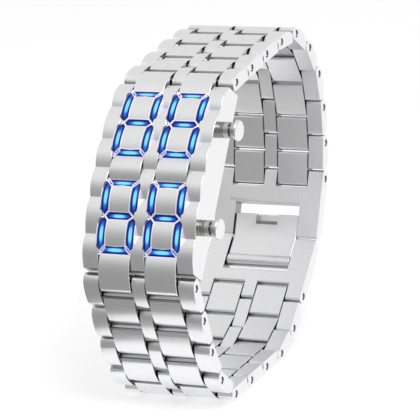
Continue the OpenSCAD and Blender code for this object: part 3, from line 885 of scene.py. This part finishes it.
def lit_bar_mesh():
    """Every lit bar as a closed solid that follows the ridges, with its own flat map for the glow."""
    build = bmesh.new()
    glow = build.loops.layers.uv.new("glow")
    for outline, middle, half_l, half_w, stands in all_bars(0):
        xs, us = zip(*outline)
        levels = [u for u in CREASES if min(us) < u < max(us)]
        if not stands:
            levels.append(middle[1])
        cuts = [((min(xs) - BEYOND, u), (max(xs) + BEYOND, u)) for u in levels]
        lines = (middle[0] - half_w / 2, middle[0], middle[0] + half_w / 2)
        cuts += [((x, min(us) - BEYOND), (x, max(us) + BEYOND)) for x in lines]
        points = [Vector(p) for p in outline]
        edges = [((k - 1) % len(outline), k) for k in range(len(outline))]
        for cut in cuts:
            edges.append((len(points), len(points) + 1))
            points += [Vector(p) for p in cut]
        whole = [list(range(len(outline)))]
        spots, _, faces, *_ = delaunay_2d_cdt(points, edges, whole, VALID_FACES, MERGE)
        top = [build.verts.new((p.x, p.y, ridge_n(WIDE_EDGES, p.y) - BAR_DROP)) for p in spots]
        lit = [build.faces.new([top[k] for k in face]) for face in faces]
        for vertex in [v for v in top if not v.link_faces]:
            build.verts.remove(vertex)
        for item in bmesh.ops.extrude_face_region(build, geom=lit)["geom"]:
            if isinstance(item, bmesh.types.BMVert):
                item.co.z -= BAR_DEPTH
        for loop in [loop for face in lit for loop in face.loops]:
            x, u = loop.vert.co.x - middle[0], loop.vert.co.y - middle[1]
            along, across = (u, x) if stands else (x, u)
            loop[glow].uv = (0.5 + along / half_l / 2, 0.5 + across / half_w / 2)
    bmesh.ops.recalc_face_normals(build, faces=build.faces)
    for loop in [loop for face in build.faces if face.normal.z < UPWARD for loop in face.loops]:
        loop[glow].uv = UNLIT
    return as_mesh(build, "bars", outward=False)


# Materials


def grain_and_painted_shade_group():
    """Fine lines of brushed steel, from a piece's own flat coordinates, and painted shade on the faces marked for
    it.
    """
    number, shade = "NodeSocketFloat", "NodeSocketColor"
    tree, given = new_tree(
        "Steel grain and painted shade",
        "ShaderNodeTree",
        [
            ("Fineness", number, 7.0),
            ("Length", number, 3.0),
            ("Strength", number, 0.09),
            ("Roughness", number, 0.3),
            ("Side roughness", number, 0.15),
            ("Painted recess shade", number, 0.4),
            ("Colour", shade, (0.7, 0.7, 0.7, 1)),
            ("Side colour", shade, (0.9, 0.9, 0.9, 1)),
        ],
        [("Colour", shade), ("Roughness", number)],
    )

    def painted(name):
        return add(tree, "ShaderNodeAttribute", attribute_name=name).outputs

    flat = add(tree, "ShaderNodeSeparateXYZ", {0: painted("flat")["Vector"]}).outputs
    across = times(tree, flat["X"], given["Fineness"])
    spot = vector(tree, X=across, Y=maths(tree, "DIVIDE", flat["Y"], given["Length"]))
    noise = add(tree, "ShaderNodeTexNoise", {"Vector": spot, "Scale": 1.0, "Detail": 2.0}).outputs[0]
    amount = times(tree, minus(tree, noise, 0.5), given["Strength"])
    side = painted("side")["Fac"]
    brushed = times(tree, amount, minus(tree, 1.0, side))
    grained = maths(tree, "MULTIPLY_ADD", brushed, 2.0, 1.0)
    # Painted shade: a face marked in the recess attribute keeps only the given share of its light.
    painted_shade_loss = times(tree, painted("recess")["Fac"], minus(tree, 1.0, given["Painted recess shade"]))
    light = times(tree, grained, minus(tree, 1.0, painted_shade_loss))
    colours = {"Factor": side, "A": given["Colour"], "B": given["Side colour"]}
    base = add(tree, "ShaderNodeMix", colours, data_type="RGBA").outputs["Result"]
    colour = add(tree, "ShaderNodeVectorMath", {0: base, "Scale": light}, operation="SCALE")
    roughs = {"Factor": side, "A": given["Roughness"], "B": given["Side roughness"]}
    rough = plus(tree, add(tree, "ShaderNodeMix", roughs).outputs[0], amount)
    end_tree(tree, Colour=colour.outputs[0], Roughness=rough)
    return tree


def material(name, **values):
    """A new material with its Principled shader, whose sockets are set. Returns its sockets too."""
    made = bpy.data.materials.new(name)
    made.use_nodes = True
    tree = made.node_tree
    tree.nodes.clear()
    sockets = {label.replace("_", " "): value for label, value in values.items()}
    shader = add(tree, "ShaderNodeBsdfPrincipled", sockets)
    add(tree, "ShaderNodeOutputMaterial", {"Surface": shader.outputs[0]})
    return made, tree, shader.inputs


def grained_steel_with_painted_shade(name, group, look, recess):
    """Brushed steel with polished sides, and painted shade: faces marked for it keep the share recess of their
    light.
    """
    made, tree, sockets = material(name, Metallic=1.0)
    values = {
        "Colour": (*look.steel, 1),
        "Side colour": (*look.chrome, 1),
        "Roughness": look.rough,
        "Side roughness": look.side_rough,
        "Painted recess shade": recess,
    }
    grain_and_shade = add(tree, "ShaderNodeGroup", values, node_tree=group).outputs
    tree.links.new(grain_and_shade["Colour"], sockets["Base Color"])
    tree.links.new(grain_and_shade["Roughness"], sockets["Roughness"])
    return made


def speckled(name, colour, rough, metallic, amount):
    """A plain material with a faint, fine unevenness."""
    made, tree, sockets = material(name, Metallic=metallic)
    spot = add(tree, "ShaderNodeTexCoord").outputs["Object"]
    pattern = {"Vector": spot, "Scale": SPECKLE, "Detail": 3.0}
    noise = add(tree, "ShaderNodeTexNoise", pattern).outputs[0]
    shade = maths(tree, "MULTIPLY_ADD", minus(tree, noise, 0.5), amount, 1.0)
    tint = add(tree, "ShaderNodeVectorMath", {0: colour, "Scale": shade}, operation="SCALE")
    tree.links.new(tint.outputs[0], sockets["Base Color"])
    tree.links.new(times(tree, shade, rough), sockets["Roughness"])
    return made


def rim_painted_glow(look):
    """The rims carry painted light: a lilac tint and a faint glow that stand in for the light of the bars beside
    them.
    """
    colour = (*look.rim, 1)
    shine = {"Emission_Color": colour, "Emission_Strength": 0.25}
    return material("rim steel with painted glow", Base_Color=colour, Metallic=0.5, Roughness=0.25, **shine)[0]


def lit_lens(look):
    """Each bar is brightest over the diode at its middle and dark blue towards its ends."""
    made, tree, sockets = material(
        "lit lens",
        Base_Color=(0.0, 0.01, 0.05, 1),
        Roughness=0.2,
        Specular_IOR_Level=0.2,
        Emission_Strength=look.glow,
    )
    spot = add(tree, "ShaderNodeUVMap", uv_map="glow").outputs[0]
    centred = add(tree, "ShaderNodeVectorMath", {0: spot, 1: (0.5, 0.5, 0)}, operation="SUBTRACT")
    doubled = {0: centred.outputs[0], 1: (2.0, 2.0, 0)}
    doubled = add(tree, "ShaderNodeVectorMath", doubled, operation="MULTIPLY").outputs[0]
    parts = add(tree, "ShaderNodeSeparateXYZ", {0: doubled}).outputs
    across = times(tree, maths(tree, "POWER", parts["Y"], 2.0), GLOW_ACROSS)
    spread = {0: vector(tree, X=parts["X"], Y=across)}
    far = add(tree, "ShaderNodeVectorMath", spread, operation="LENGTH").outputs["Value"]
    ramp = add(tree, "ShaderNodeValToRGB", {"Fac": far})
    ramp.color_ramp.interpolation = "EASE"
    stops = ramp.color_ramp.elements
    stops[0].position = GLOW_STOPS[0]
    stops[0].color = (*look.lit_middle, 1)
    stops[1].position = GLOW_STOPS[2]
    stops[1].color = (*look.lit_end, 1)
    stops.new(GLOW_STOPS[1]).color = (*look.lit_around, 1)
    tree.links.new(ramp.outputs[0], sockets["Emission Color"])
    return made


def seen(tree):
    """1 for rays that show the white round the watch: from the camera, a mirror or through glass."""
    rays = add(tree, "ShaderNodeLightPath").outputs
    bent = maths(tree, "MAXIMUM", rays["Is Glossy Ray"], rays["Is Transmission Ray"])
    return maths(tree, "MAXIMUM", rays["Is Camera Ray"], bent)


# What a user would change


class WatchSettings(bpy.types.PropertyGroup):
    """Sizes and colours of the watch's looks."""

    steel: FloatVectorProperty(
        name="Steel",
        description="Colour of the brushed steel",
        default=(0.90, 0.90, 0.91),
        subtype="COLOR",
    )
    chrome: FloatVectorProperty(
        name="Polished steel",
        description="Colour of the polished steel",
        default=(0.85, 0.85, 0.86),
        subtype="COLOR",
    )
    rough: FloatProperty(
        name="Brushing",
        description="Roughness of the brushed faces",
        default=0.33,
        min=0,
        max=1,
        subtype="FACTOR",
    )
    side_rough: FloatProperty(
        name="Side polish",
        description="Roughness of the side faces",
        default=0.14,
        min=0,
        max=1,
        subtype="FACTOR",
    )
    link_soft: FloatProperty(
        name="Link edges",
        description="Rounding of the links' sharp edges in mm",
        default=0.16,
        min=0.02,
        max=0.3,
    )
    case_soft: FloatProperty(
        name="Case edges",
        description="Rounding of the case's columns in mm",
        default=0.16,
        min=0.02,
        max=0.3,
    )
    glow: FloatProperty(
        name="Glow",
        description="Strength of the lit bars",
        default=1.0,
        min=0,
        max=5,
        subtype="FACTOR",
    )
    # The rims' colour is painted light: a tint and glow standing in for the bars' light on the steel.
    rim: FloatVectorProperty(
        name="Rims",
        description="Colour of the thin rims round the lit bars",
        default=(0.82, 0.80, 1.0),
        subtype="COLOR",
    )
    lit_middle: FloatVectorProperty(
        name="Lit middle",
        description="Colour over each diode",
        default=(0.20, 0.80, 1.0),
        subtype="COLOR",
    )
    lit_around: FloatVectorProperty(
        name="Lit round it",
        description="Colour round each diode",
        default=(0.015, 0.12, 0.68),
        subtype="COLOR",
    )
    lit_end: FloatVectorProperty(
        name="Lit ends",
        description="Colour of the ends of each bar",
        default=(0.003, 0.006, 0.11),
        subtype="COLOR",
    )


class WatchStage(bpy.types.PropertyGroup):
    """The floor, the light and the camera."""

    floor: FloatVectorProperty(
        name="Floor",
        description="Colour of the floor",
        default=(0.8, 0.8, 0.8),
        subtype="COLOR",
    )
    sky: FloatProperty(
        name="Sky",
        description="Strength of the light all round",
        default=0.6,
        min=0,
        max=2,
    )
    lamp: FloatProperty(
        name="Lamp",
        description="Power of the soft lamp in watts",
        default=2.0,
        min=0,
        max=50,
        subtype="POWER",
    )
    lens: FloatProperty(
        name="Lens",
        description="Focal length in mm",
        default=255.8,
        min=50,
        max=500,
        subtype="DISTANCE_CAMERA",
    )


def settings():
    return bpy.context.scene.watch


KEPT = {}


def steel(name):
    """The material of a slot, made once."""
    if not KEPT:
        look = settings()
        group = grain_and_painted_shade_group()
        KEPT["case_steel"] = grained_steel_with_painted_shade("case steel", group, look, CASE_PAINTED_SHADE)
        KEPT["link_steel"] = grained_steel_with_painted_shade("link steel", group, look, LINK_PAINTED_SHADE)
        KEPT["lit_lens"] = lit_lens(look)
        KEPT["rims"] = rim_painted_glow(look)
        for slot, title, colour, rough, metallic, amount in (
            ("polished_steel", "polished steel", look.chrome, 0.12, 1.0, 0.05),
            ("barrel_steel", "barrel steel", (0.32, 0.31, 0.30), 0.28, 1.0, 0.15),
            ("spring_steel", "spring steel", (0.5, 0.5, 0.5), 0.3, 1.0, 0.1),
            ("satin_steel", "satin steel", (0.55, 0.55, 0.54), 0.35, 1.0, 0.08),
            ("black_rubber", "black rubber", (0.02, 0.02, 0.02), 0.7, 0.0, 0.1),
            ("circuit_board", "circuit board", (0.02, 0.12, 0.05), 0.45, 0.0, 0.3),
            ("led_resin", "diode resin", (0.8, 0.75, 0.45), 0.4, 0.0, 0.1),
            ("black_resin", "black resin", (0.02, 0.02, 0.025), 0.4, 0.0, 0.1),
            ("cell_steel", "cell steel", (0.66, 0.66, 0.64), 0.3, 1.0, 0.1),
            ("contact_metal", "contact metal", (0.75, 0.55, 0.25), 0.3, 1.0, 0.1),
        ):
            KEPT[slot] = speckled(title, colour, rough, metallic, amount)
    return KEPT[name]


class WATCH_OT_finishes(bpy.types.Operator):
    """Give every CAD node the material of its slot"""

    bl_idname = "watch.finishes"
    bl_label = "Finishes"

    def execute(self, context):
        slots = {part["node"]: part["material_slot"] for part in frame["record"]["subparts"]}
        for name, node in frame["nodes"].items():
            node.data.materials.clear()
            node.data.materials.append(steel(slots[name]))
        return {"FINISHED"}


class WATCH_OT_links(bpy.types.Operator):
    """Make the eighteen links of the bracelet"""

    bl_idname = "watch.links"
    bl_label = "Links"

    def execute(self, context):
        link = grown(link_tree(bar_tree(), steel("link_steel")), settings().link_soft)
        for letter, points, side in (("a", UPPER, 1), ("b", LOWER, -1)):
            for k in range(LINK_COUNT):
                along = (points[k + 1] - points[k]).normalized()
                name = f"link_{letter}{k + 1}"
                piece(f"{name}_steel", link.copy(), laid(points[k], along, side), name, "link_steel", name)
        return {"FINISHED"}


class WATCH_OT_clasp(bpy.types.Operator):
    """Make the two halves of the clasp and its latch"""

    bl_idname = "watch.clasp"
    bl_label = "Clasp"

    def execute(self, context):
        tree = clasp_tree(bpy.data.node_groups["Rounded bar"], steel("link_steel"))
        halves = (
            ("upper", UPPER[-1], UPPER_CLASP_ALONG, 1, UPPER_BAR_END),
            ("lower", LOWER[-1], CLASP_ALONG, -1, LOWER_BAR_END),
        )
        for name, origin, along, side, cross in halves:
            piece(
                f"clasp_{name}_steel",
                grown(tree, settings().link_soft, {"Crosspiece end": cross}),
                laid(origin, along, side),
                f"clasp_{name}",
                "link_steel",
                f"clasp_frame_{name}",
                # Painted shade as on the links, but none at the rails' far ends.
                shade_to_paint=lambda face: painted_shade(face) * (face.center.y < CLASP_L - RAIL_GAP),
            )
        place = laid(LOWER[-1], CLASP_ALONG, -1)
        blade = place.inverted() @ laid(CLASP_MIDDLE, -UPPER_CLASP_ALONG, -1)
        inner, floor = LATCH_REACH - NOTCH_D, NOTCH_T - LATCH_T / 2
        outline = [(inner, -LATCH_T / 2), (inner, -LATCH_T), (LATCH_REACH + BEYOND, -LATCH_T)]
        outline += [(LATCH_REACH + BEYOND, floor), (inner + NOTCH_SLOPE, floor)]
        notch = prism(outline, -NOTCH_W / 2, NOTCH_W / 2, 0)
        notch.transform(blade)
        reach = BAND_W / 2 - RAIL_W - LATCH_GAP
        latch = less(prism(latch_outline(blade), -reach, reach, LATCH_SOFT), notch)
        latch = evaluated(latch, [edge_round(SLOT_SOFT, STEEP_ANGLE)])
        bump_x = reach + BUMP_OUT - BUMP_R
        bumps = [ball(blade @ Vector((x, BUMP_AT, 0)), BUMP_R) for x in (-bump_x, bump_x)]
        latch = merged([latch, *bumps])
        latch.materials.append(steel("link_steel"))
        flat = blade.inverted()

        # Painted shade on the walls of the latch's notch.
        def painted_notch_shade(face):
            spot = flat @ face.center
            within = inner - NEAR < spot.y < LATCH_REACH - EDGE_ROOM
            upright = abs((flat.to_3x3() @ face.normal).z) < UPRIGHT
            return within and upright and abs(spot.x) < NOTCH_W / 2 + NEAR

        piece("clasp_latch_steel", latch, place, "latch", "link_steel", "clasp_latch", shade_to_paint=painted_notch_shade)
        return {"FINISHED"}


class WATCH_OT_case(bpy.types.Operator):
    """Make the ridged case"""

    bl_idname = "watch.case"
    bl_label = "Case"

    def execute(self, context):
        soft = settings().case_soft
        half_gap = COLUMN_GAP / 2
        columns = [prism(narrow_outline(), -CENTRE_W / 2, CENTRE_W / 2, soft)]
        for side in (-1, 1):
            wide = sorted((side * (CENTRE_W / 2 + half_gap), side * (EDGE_X - half_gap)))
            edge = sorted((side * EDGE_X, side * BAND_W / 2))
            columns.append(prism(wide_outline(), *wide, soft))
            columns.append(prism(narrow_outline(), *edge, soft))
        cover_x = BAND_W / 2 - COVER_RIM
        cover_u = NARROW_END - COVER_RIM
        ledge = COVER_T + GASKET_T - BACK_DROP
        recess = prism(rectangle(-cover_u, cover_u, -2 * BACK_DROP, ledge), -cover_x, cover_x, 0)
        slots = slot_tool()
        soften = [edge_round(SLOT_SOFT, STEEP_ANGLE)]
        columns = [evaluated(less(less(column, recess), slots), soften) for column in columns]
        rooms = merged([self.button_room(-BUTTON_AT), self.button_room(BUTTON_AT)])
        us = ridge_us([-NARROW_END, NARROW_END], CORE_STEPS)
        core = [(u * CORE_SHARE, face_n(u) - RIDGE_DROP - CORE_DROP) for u in us]
        inside = ledge + CORE_LIFT
        core += [(core[-1][0], inside), (core[0][0], inside)]
        columns.append(prism(core, -EDGE_X - CORE_LAP, EDGE_X + CORE_LAP, 0))
        mesh = merged([less(column, rooms) for column in columns])
        mesh.materials.append(steel("case_steel"))
        piece("case_steel_body", mesh, IN_CASE, "case", "case_steel", "case_body")
        return {"FINISHED"}

    def button_room(self, u):
        """The room inside the case that a button's stem and clip move in."""
        half = CLIP_R + CLIP_ROOM
        wall = BAND_W / 2 - WALL_T
        room = rectangle(u - half, u + half, BUTTON_N - half, BUTTON_N + half)
        return prism(room, wall - STEM_REACH - BUTTON_TRAVEL - CONTACT_ROOM, wall, 0)


class WATCH_OT_digits(bpy.types.Operator):
    """Make the lit bars of the four digits"""

    bl_idname = "watch.digits"
    bl_label = "Digits"

    def execute(self, context):
        mesh = lit_bar_mesh()
        mesh.materials.append(steel("lit_lens"))
        piece("lit_bars", mesh, IN_CASE, "case", "lit_lens", "digit_lenses")
        rims = rim_mesh()
        # The rims' material paints the bars' glow onto them.
        rims.materials.append(steel("rims"))
        piece("bar_rims", rims, IN_CASE, "case", "case_steel")
        return {"FINISHED"}


def at_button(u):
    return Matrix.Translation((0, u, BUTTON_N))


class WATCH_OT_buttons(bpy.types.Operator):
    """Make the two push buttons and their grooved barrels"""

    bl_idname = "watch.buttons"
    bl_label = "Buttons"

    def execute(self, context):
        side = BAND_W / 2
        mouth = side + BARREL_L
        step = (BARREL_L - RIB_L) / RIB_COUNT
        last = RIB_COUNT - 1
        low = BARREL_R - GROOVE_D
        edge = BARREL_R - BUTTON_BEVEL
        wall = side - WALL_T
        profile = [(wall, 0), (wall, SPIGOT_R), (side - HAIR, SPIGOT_R), (side - HAIR, low)]
        for k in range(RIB_COUNT):
            x = side + k * step
            end = x + RIB_L if k < last else mouth
            profile += [(x, low), (x, edge), (x + BUTTON_BEVEL, BARREL_R)]
            profile += [(end - BUTTON_BEVEL, BARREL_R), (end, edge)]
            if k < last:
                profile += [(end, low), (x + step, low)]
        mouth_r, floor = NECK_R + MOUTH_GAP, mouth - MOUTH_D
        barrel = turned(profile + [(mouth, mouth_r), (floor, mouth_r), (floor, 0)])
        mesh = merged([barrel, barrel], [at_button(BUTTON_AT), at_button(-BUTTON_AT)])
        mesh.materials.append(steel("barrel_steel"))
        mesh.materials.append(steel("satin_steel"))
        for face in mesh.polygons:
            face.material_index = int(side + last * step < face.center.x < mouth - HAIR)
        piece("button_barrels", mesh, IN_CASE, "case", "barrel_steel", "button_tubes")

        collar = mouth + BUTTON_TRAVEL + PRESS_ROOM
        neck = side + CHAMBER_D + SPRING_L + BUTTON_TRAVEL + PRESS_ROOM
        cap = collar + COLLAR_L
        tip = wall - STEM_REACH
        rim = on_circle((cap + CAP_L - CAP_ROUND, CAP_R - CAP_ROUND), CAP_ROUND, 90, 0, ROUND_STEPS)
        stem = [(tip, 0), (tip, STEM_R), (neck, STEM_R), (neck, NECK_R), (collar, NECK_R)]
        stem += [(collar, edge), (collar + BUTTON_BEVEL, BARREL_R), (cap, BARREL_R)]
        back = [(cap, BARREL_R + CAP_FLARE), (cap + CAP_BACK, CAP_R)]
        knob = turned(stem + back + rim + [(cap + CAP_L, 0)])
        for name, u in (("button_upper", BUTTON_AT), ("button_lower", -BUTTON_AT)):
            mesh = merged([knob], [at_button(u)])
            for look in ("polished_steel", "satin_steel", "barrel_steel"):
                mesh.materials.append(steel(look))
            for face in mesh.polygons:
                if face.center.x < collar - HAIR:
                    face.material_index = 2
                elif face.center.x < cap + NEAR:
                    face.material_index = 1
            piece(f"{name}_knob", mesh, IN_CASE, name, "polished_steel", name)
        return {"FINISHED"}


class WATCH_OT_screws(bpy.types.Operator):
    """Make the four screws of the back"""

    bl_idname = "watch.screws"
    bl_label = "Back screws"

    def execute(self, context):
        mesh = grown(screw_tree(steel("polished_steel")), SCREW_SOFT)
        piece("back_screw_heads", mesh, IN_CASE, "case", "polished_steel", "back_screws")
        return {"FINISHED"}


class WATCH_OT_stage(bpy.types.Operator):
    """Make the floor, the light and the camera at the photo's angle"""

    bl_idname = "watch.stage"
    bl_label = "Stage"

    def execute(self, context):
        scene = context.scene
        stage = scene.watch_stage
        scene.view_settings.view_transform = "Standard"
        self.make_floor(stage)
        self.make_card()
        self.make_light(scene, stage)
        self.make_camera(scene, stage)
        return {"FINISHED"}

    def make_floor(self, stage):
        """A wide pale floor, lit for every ray that shows it."""
        mesh = bpy.data.meshes.new("floor")
        corners = [(x, y, 0) for x, y in rectangle(-FLOOR_HALF, FLOOR_HALF, -FLOOR_HALF, FLOOR_HALF)]
        mesh.from_pydata(corners, [], [(0, 1, 2, 3)])
        colours = {"Base_Color": (*stage.floor, 1), "Emission_Color": (1, 1, 1, 1)}
        made, tree, sockets = material("floor", Roughness=0.9, **colours)
        tree.links.new(times(tree, seen(tree), FLOOR_SHINE), sockets["Emission Strength"])
        mesh.materials.append(made)
        floor = in_scene("floor", mesh)

    def make_card(self):
        """A grey sheet in front, seen only in the steel, pale towards its top."""
        build = bmesh.new()
        level = build.verts.layers.float.new("level")
        rows = []
        for elevation, grey in CARD_ROWS:
            e = math.radians(elevation)
            far = CARD_FAR if e >= 0 else min(CARD_FAR, (CARD_EYE - CARD_FLOOR) / math.sin(-e))
            reach = far * math.cos(e)
            height = CARD_EYE + far * math.sin(e)
            row = []
            for turn in map(math.radians, CARD_TURNS):
                spot = (reach * math.cos(turn), CARD_Y + reach * math.sin(turn), height)
                vertex = build.verts.new(spot)
                vertex[level] = grey
                row.append(vertex)
            rows.append(row)
        for low, high in zip(rows, rows[1:]):
            for k in range(1, len(low)):
                build.faces.new((low[k - 1], low[k], high[k], high[k - 1]))
        mesh = as_mesh(build, "card", outward=False)
        black = {"Base_Color": (0, 0, 0, 1), "Specular_IOR_Level": 0}
        made, tree, sockets = material("card", Emission_Strength=1, **black)
        shade = add(tree, "ShaderNodeAttribute", attribute_name="level")
        tree.links.new(shade.outputs["Fac"], sockets["Emission Color"])
        mesh.materials.append(made)
        card = in_scene("card", mesh)
        card.visible_camera = False
        card.visible_diffuse = False
        card.visible_shadow = False

    def make_light(self, scene, stage):
        """A white world with a soft strength of its own, and two soft lamps."""
        world = bpy.data.worlds.new("studio")
        world.use_nodes = True
        tree = world.node_tree
        tree.nodes.clear()
        strength = add(tree, "ShaderNodeMix", {"Factor": seen(tree), "A": stage.sky, "B": 1.0})
        light = add(tree, "ShaderNodeBackground", {"Strength": strength.outputs[0]})
        add(tree, "ShaderNodeOutputWorld", {0: light.outputs[0]})
        scene.world = world
        for name, spot, size, share in LAMPS:
            lamp = bpy.data.lights.new(name, "AREA")
            lamp.energy = stage.lamp * share
            lamp.size = size
            thing = in_scene(name, lamp)
            thing.location = spot
            thing.rotation_euler = (LAMP_AIM - thing.location).to_track_quat("-Z", "Y").to_euler()

    def make_camera(self, scene, stage):
        """The camera is fitted to the case as it was drawn on a gauge, then turned with the case."""
        turn = math.radians(25)
        roll = math.radians(3.0157)
        gauge_lean = math.radians(71.565)
        gauge_middle = Vector((0, -17.55, 5.45))
        gauge_spot = Vector((278.24, -589.1, 0))
        lean = math.atan2(CASE_ALONG.z, CASE_ALONG.y) - gauge_lean
        level = Vector((math.cos(turn), math.sin(turn), 0))
        upright = Vector((0, 0, 1))
        right = math.cos(roll) * level + math.sin(roll) * upright
        up = math.cos(roll) * upright - math.sin(roll) * level
        back = right.cross(up)
        tilt = Matrix.Rotation(lean, 3, "X")
        spot = tilt @ (gauge_spot - gauge_middle) + CASE_MIDDLE
        turned_to = tilt @ Matrix((right, up, back)).transposed()
        data = bpy.data.cameras.new("camera")
        data.lens = stage.lens
        data.sensor_width = 36
        data.clip_start = 0.01
        data.clip_end = 20
        camera = in_scene("camera", data)
        camera.matrix_world = Matrix.Translation(spot * MM) @ turned_to.to_4x4()
        scene.camera = camera


class WATCH_PT_panel(bpy.types.Panel):
    """Lists the settings and the steps of the watch's looks"""

    bl_idname = "WATCH_PT_panel"
    bl_label = "Bracelet watch"
    bl_space_type = "VIEW_3D"
    bl_region_type = "UI"
    bl_category = "Watch"

    def draw(self, context):
        for group in (context.scene.watch, context.scene.watch_stage):
            for name in group.__annotations__:
                self.layout.prop(group, name)
        for step in STEPS:
            self.layout.operator(step.bl_idname)


STEPS = (
    WATCH_OT_finishes,
    WATCH_OT_links,
    WATCH_OT_clasp,
    WATCH_OT_case,
    WATCH_OT_digits,
    WATCH_OT_buttons,
    WATCH_OT_screws,
    WATCH_OT_stage,
)
CLASSES = (WatchSettings, WatchStage) + STEPS + (WATCH_PT_panel,)


def register():
    for made in CLASSES:
        bpy.utils.register_class(made)
    bpy.types.Scene.watch = PointerProperty(type=WatchSettings)
    bpy.types.Scene.watch_stage = PointerProperty(type=WatchStage)


def unregister():
    del bpy.types.Scene.watch_stage
    del bpy.types.Scene.watch
    for made in reversed(CLASSES):
        bpy.utils.unregister_class(made)


def main():
    register()
    for step in STEPS:
        group, name = step.bl_idname.split(".")
        getattr(getattr(bpy.ops, group), name)()


if __name__ == "__main__":
    main()
